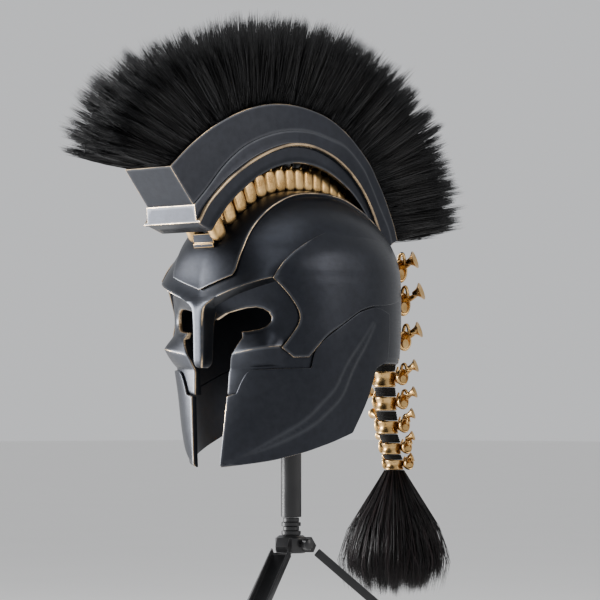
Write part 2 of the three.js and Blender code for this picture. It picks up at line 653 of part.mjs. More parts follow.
// rubber shoe: square to the leg above, flat on the floor below
function standFoot(deg) {
  const { dir, over, start } = legFrame(deg);
  const [c, s] = heading(deg);
  const corner = (up, along) => {
    const p = start.clone().addScaledVector(dir, LEG_LENGTH + along).addScaledVector(over, up);
    return [p.x * c + p.y * s, p.z];
  };
  const [high, low] = [corner(6, GAP), corner(-6, GAP)];
  const toe = high[0] + 5;
  const outline = [low, high, [toe, FLOOR + 7], [toe, FLOOR], [low[0] - 2, FLOOR]];
  return prism(outline, -13, 13, (u, v, w) => [u * c - w * s, u * s + w * c, v]);
}

// ---- the whole thing ----
const group = new THREE.Group();
group.name = 'greek_helmet_on_stand';
const pieces = [];
const add = (name, finish, body) => pieces.push({ name, finish, body });

const envelope = skullEnvelope(GAP);
const clearance = skullEnvelope(PLATE + 1.2);
const number = (k) => String(k + 1).padStart(2, '0');
add('skull_shell', 'gunmetal', skullShell());
add('crown_band', 'plate', crownBand());
for (const [word, side] of [['left', 1], ['right', -1]]) {
  add(`temple_plate_${word}`, 'plate', templePlate(side));
  add(`cheek_guard_${word}`, 'plate', cheekGuard(side, envelope));
}
add('crest_box', 'gunmetal', crestBox(clearance));
add('spine_bracket', 'gunmetal', spineBracket(clearance));
add('crest_plume', 'hair', crestPlume());
for (let k = 0; k < ARCH_COUNT; k += 1) add(`arch_vertebra_${number(k)}`, 'gold', archVertebra(k));
TAIL.forEach((row, k) => add(`tail_vertebra_${k + 1}`, 'gold', tailVertebra(row)));
for (let k = 0; k + 1 < TAIL.length; k += 1) add(`tail_disc_${k + 1}`, 'disc', tailDisc(k));
add('tassel', 'hair', tassel());
add('stand_post', 'stand', standPost());
add('stand_collar', 'stand', standCollar());
add('stand_hub', 'stand', standHub());
add('stand_knob', 'stand', standKnob());
LEG_HEADINGS.forEach((deg, k) => {
  add(`stand_leg_${k + 1}`, 'stand', standLeg(deg));
  add(`stand_foot_${k + 1}`, 'rubber', standFoot(deg));
});

const reachBox = new THREE.Box3();
for (const { body } of pieces) {
  const { min, max } = body.boundingBox();
  reachBox.expandByPoint(new THREE.Vector3(...min)).expandByPoint(new THREE.Vector3(...max));
}
const middle = reachBox.getCenter(new THREE.Vector3());

for (const { name, finish, body } of pieces) {
  const mesh = body.getMesh();
  const geometry = new THREE.BufferGeometry();
  geometry.setAttribute('position', new THREE.BufferAttribute(new Float32Array(mesh.vertProperties), 3));
  geometry.setIndex(new THREE.BufferAttribute(new Uint32Array(mesh.triVerts), 1));
  geometry.translate(-middle.x, -middle.y, -reachBox.min.z);
  geometry.computeVertexNormals();
  const [color, roughness, metalness] = FINISH[finish];
  const material = new THREE.MeshStandardMaterial({ color, roughness, metalness });
  const node = new THREE.Mesh(geometry, material);
  node.name = name;
  group.add(node);
}

export default group;
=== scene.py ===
"""Greek helmet with a bristle plume, a bone-like spine and a tassel, on a plain black stand.

Shapes are worked out in millimetres from the tips of the cheek guards (Z = 0) and the axis of
the stand's post (X = Y = 0); place() turns them into the frame's metres.
"""

import math

import bmesh
import bpy
import numpy as np
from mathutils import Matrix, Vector
from mathutils.geometry import delaunay_2d_cdt


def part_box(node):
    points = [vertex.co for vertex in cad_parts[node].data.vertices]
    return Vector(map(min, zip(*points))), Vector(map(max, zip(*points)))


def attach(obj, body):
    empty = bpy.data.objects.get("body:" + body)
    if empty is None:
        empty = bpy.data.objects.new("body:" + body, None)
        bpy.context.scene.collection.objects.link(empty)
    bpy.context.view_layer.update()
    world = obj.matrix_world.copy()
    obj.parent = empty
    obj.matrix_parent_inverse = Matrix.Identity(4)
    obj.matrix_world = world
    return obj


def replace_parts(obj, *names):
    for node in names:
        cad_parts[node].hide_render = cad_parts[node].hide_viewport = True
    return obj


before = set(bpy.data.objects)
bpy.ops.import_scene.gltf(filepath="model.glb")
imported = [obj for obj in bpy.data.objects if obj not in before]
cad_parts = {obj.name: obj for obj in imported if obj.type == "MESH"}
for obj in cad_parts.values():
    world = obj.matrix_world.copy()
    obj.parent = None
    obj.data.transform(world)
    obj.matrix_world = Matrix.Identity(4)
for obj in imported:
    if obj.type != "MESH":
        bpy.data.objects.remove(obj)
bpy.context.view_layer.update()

post_low, post_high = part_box("stand_post")
HUB_LOW = -90.0                    # underside of the stand's hub, below the cheek tips
ORIGIN = np.array([
    (post_low.x + post_high.x) * 500,
    (post_low.y + post_high.y) * 500,
    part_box("stand_hub")[0].z * 1000 - HUB_LOW,
])
rng = np.random.default_rng(7)

# ---- the helmet's skin: rows from the cheek tips to the crown ----
# z at the nose line, temple and nape; reach in front with and without the ridge, at the side
# and behind; roundness in front with and without the ridge, and behind; crease or not
SKIN = np.array([
    [-2, 8, 45, 126.5, 126.5, 95, 108, 1.75, 1.75, 2.2, 1],
    [40, 42, 80, 123, 123, 99, 116, 2.1, 2.1, 2.2, 0],
    [77.5, 81, 112, 120.3, 120.3, 102, 121, 2.4, 2.4, 2.2, 0],
    [104, 108, 119, 118, 118, 103, 123, 2.8, 2.65, 2.2, 1],
    [114, 129, 132, 121.5, 119, 104, 124, 4.5, 2.8, 2.2, 1],
    [140, 146, 146, 118, 119.5, 104.5, 124.5, 2.9, 2.9, 2.2, 0],
    [158, 172, 172, 117, 122, 104.5, 125, 2.9, 2.9, 2.2, 0],
    [166, 196, 196, 123, 127, 104, 125, 3.0, 2.9, 2.2, 1],
    [170, 201, 202, 138, 128, 103.5, 125, 3.2, 2.9, 2.2, 1],
    [190, 212, 213, 132, 130, 103, 124.5, 2.9, 2.8, 2.15, 0],
    [228, 228, 229, 125, 125, 99.5, 121, 2.45, 2.45, 2.1, 0],
    [245, 245, 245, 116, 116, 93, 113.5, 2.25, 2.25, 2.05, 0],
    [262, 262, 262, 100, 100, 81.5, 99.5, 2.1, 2.1, 2, 0],
    [278, 278, 278, 78, 78, 63, 77, 2, 2, 2, 0],
    [290, 290, 290, 50, 50, 41, 49.5, 2, 2, 2, 0],
    [296.5, 296.5, 296.5, 0.5, 0.5, 0.5, 0.5, 2, 2, 2, 0],
])
NOSE, TEMPLE, NAPE, FRONT, PLAIN, SIDE, BACK, N_FRONT, N_PLAIN, N_BACK, CREASE = range(11)
RIM_ROW, CHEEK_RIDGE_ROW, HOLLOW_ROW, BROW_RIDGE_ROW = 2, 4, 7, 8
RIDGE_FULL, RIDGE_GONE = 34, 44
WALL = 4.5                         # thickness of the skull shell
INNER_FRONT = 112                  # how far forward its hollow reaches
PLATE = 3.6                        # how far the raised plates stand off the skin
GUARD = 3.0                        # and the cheek guards
ARC = math.radians(1) * 105        # millimetres along the skin per degree round the axis
# Points this far from any edge get neither rubbed gold nor the band of painted highlight.
NO_WEAR_OR_HIGHLIGHT = 99.0                    # edge distance of a point that keeps its dark finish
SIDES = (("left", 1), ("right", -1))

# half outline of the face opening in a front view: x, z
FACE_OPENING = [
    (18, -10), (18.5, 3), (21.8, 37), (24.7, 77), (25.5, 102), (30.7, 115.7), (44.1, 137.4),
    (41, 144.2), (52.2, 145.1), (61.4, 146.6), (67.7, 149.6), (71.3, 154.8), (71.7, 158.9),
    (69.3, 164.1), (64, 167.8), (57.1, 169.4), (46.1, 168.6), (33.6, 166.2), (19.8, 163.4), (5, 157),
]
# cheek guard ribs: lower end and upper end, angle and height
GUARD_RIBS = [
    (8.9, 3, 12.4, 76.8), (13.4, 4.2, 17.8, 80), (17.6, 5.3, 20.6, 92.4), (23, 6.8, 24.8, 103.2),
    (33, 9.8, 33, 104.8), (42, 13.5, 43, 105.6), (52, 18.2, 55.4, 106.2), (57, 20.8, 57.6, 124),
    (64, 24.8, 63, 136.6), (72, 29.2, 71.4, 148), (80, 34, 79.6, 157.4), (88.2, 38.8, 87, 165),
    (99.5, 73.4, 95.1, 169.4), (106, 107, 103, 171), (117.4, 114.9, 114.5, 164.8),
]
# temple plate: angle and height along its lower, upper and front sides
TEMPLE_LOWER = [
    (46.3, 117), (54.2, 117.4), (57.2, 124.4), (61, 133.4), (66.4, 143), (73, 150.6), (80, 158.6),
    (88, 166.8), (96, 171.2), (104, 172.8), (114, 174.2), (123, 176.4), (132, 179.6), (141, 183.3),
    (150, 187),
]
TEMPLE_UPPER = [
    (37.4, 198.6), (39.4, 208), (42.3, 217.5), (46, 225.6), (50.5, 232.3), (56, 239), (62.2, 244.7),
    (69, 249.4), (78, 253.8), (89, 256), (101, 256.6), (114, 256), (126, 255), (138, 253), (150, 250),
]
TEMPLE_FRONT = [
    (46.3, 117), (40.9, 127), (45, 139.5), (48.4, 151), (49.2, 160), (47.6, 170), (43.2, 184),
    (37.4, 198.6),
]
# crown band: distance along Y and half width
BAND = [
    (-125, 46.5), (-119.5, 46.9), (-113, 46.8), (-100, 44.6), (-86, 42.7), (-71, 41), (-56, 40),
    (-41, 39.2), (-26, 38.6), (-11, 38.2), (4, 38), (19, 38), (34, 38), (49, 38), (63, 38), (76, 38),
    (88, 38), (98, 37.5), (107, 37), (114, 36.5), (119.5, 36),
]
BAND_TIP = 188                     # height of the band's point on the brow
BAND_CORNER = (19, 202.3)          # angle and height of the corner beside it
# crest: y and z of the top edge, the step, the bead, the lower edge and the tip of the hair
CREST = np.array([
    [-208.7, 311.6, -176.5, 273.5, -174.4, 255, -153, 247.3, -304, 324],
    [-180.8, 334.8, -158, 291, -160.4, 275.7, -140.2, 263.4, -298, 378],
    [-152.6, 353.6, -135, 315, -135, 298.5, -124.4, 279.7, -255, 418],
    [-124, 368, -110.9, 333.7, -113, 313.5, -105.7, 294.2, -190, 449],
    [-95, 378.8, -88, 345.5, -88.5, 326.8, -85, 307.5, -122, 471],
    [-65.7, 385.1, -60, 354.5, -62, 337.5, -60, 318.5, -66, 483],
    [-36, 386.6, -33, 359, -36, 343.5, -33, 324.5, -14, 488],
    [-5.9, 383.4, -5, 359, -7, 342.6, -6, 323.6, 42, 484],
    [24.6, 375.2, 23.1, 353.5, 20, 335, 17, 318, 98, 470],
    [55.4, 358.9, 50, 345.5, 43, 323.5, 38, 308.5, 152, 446],
    [86.7, 333.6, 77, 325, 62.2, 310.1, 57, 298, 204, 407],
    [102.4, 315.9, 93, 306, 79, 294.5, 75, 283.8, 232, 364],
    [118.2, 294.8, 108, 285, 93.5, 276.9, 88, 271, 252, 324],
    [134.2, 265.9, 124, 262, 107, 255, 99, 253, 261, 285],
    [140.6, 249.7, 131, 245, 117, 238, 108, 240, 257, 267],
])
CREST_END = len(CREST) - 1
CREST_TOP, CREST_STEP, CREST_BEAD, CREST_LOW = 34.4, 35.9, 42.8, 38.0      # half widths
ARCH_COUNT = 16
ARCH_SPAN = (-117.5, 75.4)         # Y of the first and last vertebra under the crest
ARCH_BUNCH = 0.14                  # how much closer together they stand behind
ARCH_TALL = 23
ARCH_DROP = 2.6                    # how far the lozenges reach below the bows' feet
# hanging spine: y, z, centrum radius, height, reach and rise of the side processes
TAIL = [
    (141, 212.5, 13, 24, 41, 15), (146, 176, 13, 24, 46, 17), (148, 136, 13, 22, 41, 15),
    (146, 97, 12.4, 17.5, 38, 14.5), (148, 70, 12, 15.5, 35, 12.5), (151, 44, 11.6, 14.5, 29.5, 15),
    (156.4, 20.5, 11, 12.5, 25, 14), (161, 2.5, 10.4, 11, 19.5, 8.5),
]
TASSEL_Y = 161


# ---- numbers ----
def mix(a, b, t):
    return a + (b - a) * t


def smooth(t):
    t = np.clip(t, 0, 1)
    return t * t * (3 - 2 * t)


def round_angles(count):
    """Angles in radians, evenly spaced once round."""
    return np.arange(count) * 2 * np.pi / count


def mirrored(half):
    """A closed ring from the points of its left half."""
    return half + [(-x, y, z) for x, y, z in reversed(half)]


def skin_row(v):
    """The skin table read between its rows, straight towards a crease and curved elsewhere."""
    v = np.asarray(v, float)
    last = len(SKIN) - 1
    i = np.clip(np.floor(v).astype(int), 0, last - 1)
    t = (v - i)[..., None]

    def at(k):
        return SKIN[np.clip(k, 0, last)]

    step = at(i + 1) - at(i)
    m0 = np.where(at(i)[..., CREASE:] > 0, step, (at(i + 1) - at(i - 1)) / 2)
    m1 = np.where(at(i + 1)[..., CREASE:] > 0, step, (at(i + 2) - at(i)) / 2)
    return (at(i) * (2 * t**3 - 3 * t**2 + 1) + m0 * (t**3 - 2 * t**2 + t)
            + at(i + 1) * (3 * t**2 - 2 * t**3) + m1 * (t**3 - t**2))


def skin(theta, v, off=0.0, limit=np.inf):
    """Points of the skin at angles and rows, moved outwards by off."""
    theta, v, off = np.broadcast_arrays(*[np.asarray(a, float) for a in (theta, v, off)])
    row = skin_row(v)
    turn = np.abs(theta)
    rise = 1 - (1 - np.clip(turn / 40, 0, 1)) ** 1.2
    z = (row[..., NOSE] + (row[..., TEMPLE] - row[..., NOSE]) * rise
         + (row[..., NAPE] - row[..., TEMPLE]) * smooth((turn - 40) / 70))
    ridge = 1 - smooth((turn - RIDGE_FULL) / (RIDGE_GONE - RIDGE_FULL))
    front = np.minimum(limit, mix(row[..., PLAIN], row[..., FRONT], ridge))
    ahead = turn < 90
    depth = np.where(ahead, front, row[..., BACK])
    n = np.where(ahead, mix(row[..., N_PLAIN], row[..., N_FRONT], ridge), row[..., N_BACK])
    s, c = np.sin(np.radians(theta)), np.cos(np.radians(theta))
    r = ((np.abs(s) / row[..., SIDE]) ** n + (np.abs(c) / depth) ** n) ** (-1 / n)
    p = np.stack([s * r, -c * r, z], -1)
    away = p * [1, 1, 0] + np.stack([0 * z, 0 * z, np.maximum(0, z - 200)], -1)
    return p + off[..., None] * away / np.linalg.norm(away, axis=-1, keepdims=True)


def bisect(f, lo, hi):
    """Where the rising f crosses zero, for whole arrays at once."""
    for _ in range(32):
        mid = (lo + hi) / 2
        high = f(mid) > 0
        hi = np.where(high, mid, hi)
        lo = np.where(high, lo, mid)
    return (lo + hi) / 2


def row_at(theta, z):
    """The row where the skin reaches a height at an angle."""
    theta, z = np.broadcast_arrays(np.asarray(theta, float), np.asarray(z, float))
    return bisect(lambda v: skin(theta, v)[..., 2] - z, np.zeros(z.shape), np.full(z.shape, 15.0))


def row_over(x, y):
    """Angle and row of the upper skin over a plan position."""
    theta = np.degrees(np.arctan2(x, -y))
    far = np.hypot(x, y)

    def past(v):
        return far - np.hypot(*np.moveaxis(skin(theta, v)[..., :2], -1, 0))

    return theta, bisect(past, np.full(far.shape, 8.0), np.full(far.shape, 15.0))


def curve(rows, steps):
    """A smooth curve through rows of numbers, with steps points to each stretch."""
    rows = np.asarray(rows, float)
    padded = np.vstack([2 * rows[0] - rows[1], rows, 2 * rows[-1] - rows[-2]])
    out = []
    for i in range(1, len(padded) - 2):
        a, b, c, d = padded[i - 1:i + 3]
        for t in np.arange(steps) / steps:
            out.append(b + (c - a) * t / 2 + (2 * a - 5 * b + 4 * c - d) * t**2 / 2
                       + (3 * b - a - 3 * c + d) * t**3 / 2)
    return np.array(out + [rows[-1]])


def spaced(line, gap, closed=True):
    """A polyline with points at most gap apart."""
    line = np.asarray(line, float)
    ends = np.roll(line, -1, 0) if closed else line[1:]
    out = []
    for a, b in zip(line, ends):
        n = max(1, math.ceil(np.linalg.norm(b - a) / gap))
        out += [mix(a, b, k / n) for k in range(n)]
    return np.array(out if closed else out + [line[-1]])


def distance(points, line, closed=True, signed=False):
    """Distance from each point to a polyline; if signed, it is below zero on the right-hand side."""
    line = np.asarray(line, float)
    ends = np.roll(line, -1, 0) if closed else line[1:]
    best, sign = np.full(len(points), np.inf), np.ones(len(points))
    for a, b in zip(line, ends):
        run = b - a
        t = np.clip((points - a) @ run / max(1e-9, run @ run), 0, 1)
        far = np.hypot(*(points - a - t[:, None] * run).T)
        left = run[0] * (points[:, 1] - a[1]) - run[1] * (points[:, 0] - a[0])
        sign = np.where(far < best, np.sign(left), sign)
        best = np.minimum(best, far)
    return best * sign if signed else best


def inside(points, line):
    """Whether each point lies inside a closed outline."""
    x, y = points.T
    odd = np.zeros(len(points), bool)
    for a, b in zip(line, np.roll(line, -1, 0)):
        crosses = (a[1] > y) != (b[1] > y)
        at = a[0] + (y - a[1]) * (b[0] - a[0]) / np.where(b[1] == a[1], 1, b[1] - a[1])
        odd ^= crosses & (x < at)
    return odd


# ---- meshes ----
def place(points):
    """The helmet's millimetres as the frame's metres."""
    return (np.asarray(points, float) + ORIGIN) / 1000


def add_object(name, data):
    made = bpy.data.objects.new(name, data)
    bpy.context.scene.collection.objects.link(made)
    return made


def add_piece(name, mesh):
    piece = add_object(name, mesh)
    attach(piece, "root")
    return piece


def add_attribute(mesh, name, values):
    mesh.attributes.new(name, "FLOAT", "POINT").data.foreach_set("value", np.asarray(values, float))


def add_smooth_piece(name, mesh, node, sharp):
    """A piece over a CAD node; edges that turn by more than sharp degrees stay crisp."""
    bm = bmesh.new()
    bm.from_mesh(mesh)
    bmesh.ops.remove_doubles(bm, verts=bm.verts, dist=2e-6)
    bmesh.ops.recalc_face_normals(bm, faces=bm.faces)
    bm.to_mesh(mesh)
    bm.free()
    mesh.shade_smooth()
    mesh.set_sharp_from_angle(angle=math.radians(sharp))
    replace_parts(add_piece(name, mesh), node)


class Solid:
    """Closed bodies joined as one mesh, with each point's distance to the nearest rubbed edge or crease;
    the finish paints rubbed gold and a band of painted highlight by it.
    """

    def __init__(self, *bodies):
        self.points, self.faces, self.edge, self.count = [], [], [], 0
        for body in bodies:
            self.add(*body)

    def add(self, points, faces, edge=None):
        points = np.asarray(points, float).reshape(-1, 3)
        self.points.append(points)
        self.faces += [[int(self.count + k) for k in f] for f in faces]
        self.edge.append(np.full(len(points), NO_WEAR_OR_HIGHLIGHT) if edge is None else np.asarray(edge, float))
        self.count += len(points)

    def piece(self, name, material, slot, node, sharp):
        mesh = bpy.data.meshes.new(name)
        mesh.from_pydata(place(np.vstack(self.points)).tolist(), [], self.faces)
        add_attribute(mesh, "edge_mm", np.concatenate(self.edge))
        mesh.materials.append(material)
        add_smooth_piece(name, mesh, node, sharp)


def loft(rings, caps=True):
    """Faces that join closed rings of equal length, with a middle point on each end."""
    rings = np.asarray(rings, float)
    rows, n = rings.shape[:2]
    points = list(rings.reshape(-1, 3))
    faces = []
    for i in range(rows - 1):
        for k in range(n):
            a, b = i * n + k, i * n + (k + 1) % n
            faces.append([a, b, b + n, a + n])
    if caps:
        for base, ring in ((0, rings[0]), ((rows - 1) * n, rings[-1])):
            points.append(ring.mean(0))
            faces += [[base + k, base + (k + 1) % n, len(points) - 1] for k in range(n)]
    return np.array(points), faces


def sheet_faces(rows, columns):
    """Faces of a grid of points set down row by row."""
    return [[i * columns + k, i * columns + k + 1, (i + 1) * columns + k + 1, (i + 1) * columns + k]
            for i in range(rows - 1) for k in range(columns - 1)]


def turned(profile, sides=40, centre=(0, 0), axis=None, origin=(0, 0, 0)):
    """A profile of radius and height turned about an upright axis, or about axis at origin."""
    turns = round_angles(sides)
    rings = np.array([[(r * math.cos(a), r * math.sin(a), z) for a in turns] for r, z in profile])
    if axis is not None:
        turn = np.array(Vector((0, 0, 1)).rotation_difference(Vector(axis)).to_matrix())
        rings = rings @ turn.T + np.asarray(origin, float)
    else:
        rings = rings + [centre[0], centre[1], 0]
    return loft(rings)


def tube(path, sizes, sides=12, up=(0, 0, 1)):
    """A tapered round bar along a path; sizes holds two half widths at each point."""
    path, sizes = np.asarray(path, float), np.asarray(sizes, float)
    along = np.gradient(path, axis=0)
    along /= np.linalg.norm(along, axis=1, keepdims=True)
    side = np.cross(along, up)
    side /= np.linalg.norm(side, axis=1, keepdims=True)
    top = np.cross(side, along)
    a = round_angles(sides)
    rings = (path[:, None] + side[:, None] * sizes[:, None, :1] * np.cos(a)[None, :, None]
             + top[:, None] * sizes[:, None, 1:] * np.sin(a)[None, :, None])
    return loft(rings)


def triangles(outline, points, outside=False):
    """Triangles of the flat region inside (or outside) a closed outline, through given points."""
    n = len(outline)
    verts = [Vector(p) for p in np.vstack([outline, points])]
    edges = [(k, (k + 1) % n) for k in range(n)]
    out, _, faces, *_ = delaunay_2d_cdt(verts, edges, [], 0, 1e-5)
    flat = np.array(out)
    faces = np.array([f for f in faces if len(f) == 3])
    keep = inside(flat[faces].mean(1), outline) != outside
    return flat, faces[keep]


def edge_rings(outline, depths, outside=False):
    """Points in rings at given distances inside (or outside) an outline."""
    ahead = np.roll(outline, -1, 0) - np.roll(outline, 1, 0)
    normal = np.stack([-ahead[:, 1], ahead[:, 0]], 1)
    normal /= np.linalg.norm(normal, axis=1, keepdims=True)
    if inside(outline[:1] + normal[:1] * 0.05, outline)[0] == outside:
        normal = -normal
    rings = []
    for depth in depths:
        ring = outline + normal * depth
        far = distance(ring, outline) > depth * 0.93
        rings.append(ring[far & (inside(ring, outline) != outside)])
    return np.vstack(rings)


def thick(outer, inner, faces, open_edges=()):
    """A closed body from two skins with the same faces; open_edges are left unwalled."""
    count = {}
    for f in faces:
        for a, b in zip(f, np.roll(f, -1)):
            count.setdefault((min(a, b), max(a, b)), []).append((a, b))
    n = len(outer)
    walls = [[a, b, b + n, a + n] for key, uses in count.items() if len(uses) == 1
             for a, b in uses if key not in open_edges]
    both = [list(f) for f in faces] + [[k + n for k in reversed(f)] for f in faces]
    return np.vstack([outer, inner]), both + walls


EDGE_RADIUS = 1.1
RING_DEPTHS = (0.3, 0.65, 1.1, 1.7, 2.6)       # how far in from an edge the rings of points lie


def rounding(d):
    """How far a rounded edge has dropped at a distance in from it."""
    short = np.clip(EDGE_RADIUS - d, 0, EDGE_RADIUS)
    return EDGE_RADIUS - np.sqrt(EDGE_RADIUS**2 - short**2)


# ---- skull shell ----
def run_along(points):
    """Distance run along a line of points up to each of them."""
    return np.concatenate([[0], np.cumsum(np.linalg.norm(np.diff(points, axis=0), axis=1))])


MERIDIAN_ROWS = np.linspace(0, 14.8, 741)
MERIDIAN = run_along(skin(30, MERIDIAN_ROWS))
CROWN_ROW = 14.6                   # the shell's rows end here and close on one point
SHELL_STEP = 2.6                   # spacing of the shell's points


def run_of(v):
    """Length along the helmet's profile up to a row."""
    return np.interp(v, MERIDIAN_ROWS, MERIDIAN)


def row_of(run):
    """The row at a length along the helmet's profile."""
    return np.interp(run, MERIDIAN, MERIDIAN_ROWS)


def opening_line():
    """One side of the face opening above the rim, as angle and row, from the rim to the nose line."""
    half = spaced(FACE_OPENING, 1.3, closed=False)
    x, z = half.T
    start = np.zeros(len(x))
    theta = bisect(lambda a: skin(a, row_at(a, z))[..., 0] - x, start, start + 72)
    v = row_at(theta, z)
    above = v > RIM_ROW + 0.02
    line = np.stack([theta, v], 1)[above]
    return np.vstack([[line[0, 0], RIM_ROW], line])


def softened(theta, run, off):
    """The skin with its folds rounded off."""
    return sum(skin(theta, row_of(run + d), off) for d in (-0.8, 0, 0, 0.8)) / 4


def shell_outline(opening, low, high):
    """The unrolled shell: its face opening, rim, two sides of the seam behind and crown."""
    turn = 180 * ARC
    ahead = opening[0, 0]
    sides = np.arange(low, high, SHELL_STEP)
    return np.vstack([
        opening[::-1],
        spaced([(ahead, low), (turn, low)], SHELL_STEP, False)[1:],
        [(turn, t) for t in sides[1:]],
        spaced([(turn, high), (-turn, high)], 5, False),
        [(-turn, t) for t in sides[::-1]],
        spaced([(-turn, low), (-ahead, low)], SHELL_STEP, False)[1:-1],
    ])


def shell_points(opening, low, high):
    """Points between the outlines: rings round the opening, and a grid that is finer at each fold."""
    folds = [run_of(r) for r in (CHEEK_RIDGE_ROW, BROW_RIDGE_ROW, HOLLOW_ROW, RIM_ROW + 1)]
    sides = np.arange(low, high, SHELL_STEP)[1:]
    rows = np.concatenate([sides] + [[f - 1.4, f - 0.6, f, f + 0.6, f + 1.4] for f in folds])
    rows = np.unique(np.round(rows, 1))
    rows = rows[np.concatenate([[True], np.diff(rows) > 0.45])]
    front = np.arange(-74, 74.1, 1.45) * ARC
    back = np.arange(77, 179, 3) * ARC
    grid = np.stack(np.meshgrid(np.concatenate([-back[::-1], front, back]), rows), -1).reshape(-1, 2)
    grid = grid[(distance(grid, opening) > 3.2) & (grid[:, 1] > low + 1) & (grid[:, 1] < high - 1)]
    rings = edge_rings(opening, RING_DEPTHS + (3.8, 5.2), outside=True)
    return np.vstack([rings[rings[:, 1] > low + 0.8], grid])


def fold_edge(theta, run):
    """Distance to the folds of cheek and brow, rubbed gold and given a band of painted highlight, which end
    at the temples and over the nose.
    """
    turn = np.abs(theta)
    cheek = np.abs(run - run_of(CHEEK_RIDGE_ROW)) + 0.25 + 9 * (turn > 42)
    brow = np.abs(run - run_of(BROW_RIDGE_ROW)) + 0.3 + 9 * (turn > 38)
    return np.minimum(cheek, brow + 9 * (1 - smooth((turn - 7) / 5)))


def skull_shell():
    """The hollow shell, made flat with its opening cut out and then laid on the skin."""
    low, high = run_of(RIM_ROW), run_of(CROWN_ROW)
    right = opening_line()
    right = np.stack([right[:, 0] * ARC, run_of(right[:, 1])], 1)
    opening = np.vstack([right, (right * [-1, 1])[::-1]])
    flat, faces = triangles(shell_outline(opening, low, high), shell_points(opening, low, high))
    theta, run = flat[:, 0] / ARC, flat[:, 1]
    d_open = distance(flat, opening[1:-1], closed=False)
    eye = smooth((run - run_of(4.5)) / 10)
    soft = np.clip(1 - d_open / mix(2.6, 7.0, eye), 0, 1) ** 2
    drop = rounding(d_open) + soft * mix(0.3, 1.9, eye) + rounding(run - low)
    outer = softened(theta, run, -drop)
    inner = skin(theta, row_of(run), -WALL, INNER_FRONT + WALL)
    seam = {k for k, s in enumerate(flat[:, 0]) if abs(s) > 180 * ARC - 0.01}
    top = {k for k, t in enumerate(flat[:, 1]) if t > high - 0.01}
    unwalled = {(min(a, b), max(a, b)) for f in faces for a, b in zip(f, np.roll(f, -1))
                if {a, b} <= seam or {a, b} <= top}
    points, faces = thick(outer, inner, faces, unwalled)
    n = len(flat)
    crown = SKIN[-1, 0]
    points = np.vstack([points, [[0, 0, crown], [0, 0, crown - WALL]]])
    order = sorted(top, key=lambda k: flat[k, 0])
    for a, b in zip(order, order[1:]):
        faces += [[a, b, 2 * n], [b + n, a + n, 2 * n + 1]]
    edge = np.minimum(d_open, fold_edge(theta, run))
    # The inner edge of the eye opening counts as a rubbed edge: gold wear and a band of painted highlight.
    lining = np.where((d_open < 0.15) & (eye > 0.5), 0.3, NO_WEAR_OR_HIGHLIGHT)
    return points, faces, np.concatenate([edge, lining, [NO_WEAR_OR_HIGHLIGHT] * 2])


# nose guard: height, half width, reach of its front and back
NOSE_GUARD = [
    (106.6, 2.6, 134.4, 126.5), (107.6, 4.2, 136.2, 125.5), (109.6, 5.5, 137.4, 124),
    (112.6, 6.3, 138, 123), (117, 6.8, 138.2, 122.6), (135, 6.9, 138.5, 122), (152, 7.1, 138.8, 121),
    (160, 7.7, 138.9, 120), (165, 8.3, 138.9, 119), (169, 9.7, 138.9, 118), (172, 12.2, 138.9, 117),
    (174.6, 16, 138.9, 116.5), (177.2, 21, 138.9, 116), (179.8, 26, 138.9, 115.5), (180.8, 28, 138.9, 115),
]
BROW_POINT = 170                   # height of the brow's lower edge at its middle
BROW_CLIMB = 0.377                 # and how fast it climbs to each side


def brow_sink(x, z):
    """How far the guard's face has leant back where it runs up over the brow."""
    above = (z - BROW_POINT - BROW_CLIMB * abs(x)) / 2
    return 0.86 * math.log1p(math.exp(min(above, 30))) + 0.0006 * x * x


def nose_guard():
    """The bar over the nose, its front and sides rubbed, up to where it runs into the brow."""
    rings, edge = [], []
    for z, half, front, back in curve(NOSE_GUARD, 3):
        near = [
            (half * 0.15, front, 9), (half * 0.4, front, 3), (max(half - 2, half * 0.6), front - 0.1, 1.6),
            (half - 1, front - 0.35, 0.5), (half - 0.3, front - 1, 0), (half, front - 2, 0.6),
            (half + 0.2, front - 4, 3), (half + 0.5, back + 2, 2), (half + 0.5, back, 0),
        ]
        rings.append(mirrored([(x, brow_sink(x, z) - y, z) for x, y, _ in near]))
        wear_and_highlight = [e + 0.35 for *_, e in near]
        edge += wear_and_highlight + wear_and_highlight[::-1]
    points, faces = loft(rings)
    return points, faces, edge + [2, 2]


def build_skull(gunmetal):
    body = Solid(skull_shell(), nose_guard())
    body.piece("skull_visual", gunmetal, "shell", "skull_shell", 34)


# ---- raised plates ----
def chain(points, corners, steps=5):
    """A line through points, curved except at the numbered corners."""
    stops = sorted({0, *corners, len(points) - 1})
    parts = [curve(points[a:b + 1], steps)[:-1] if b - a > 1 else np.array(points[a:a + 1], float)
             for a, b in zip(stops, stops[1:])]
    return np.vstack(parts + [np.array(points[-1:], float)])


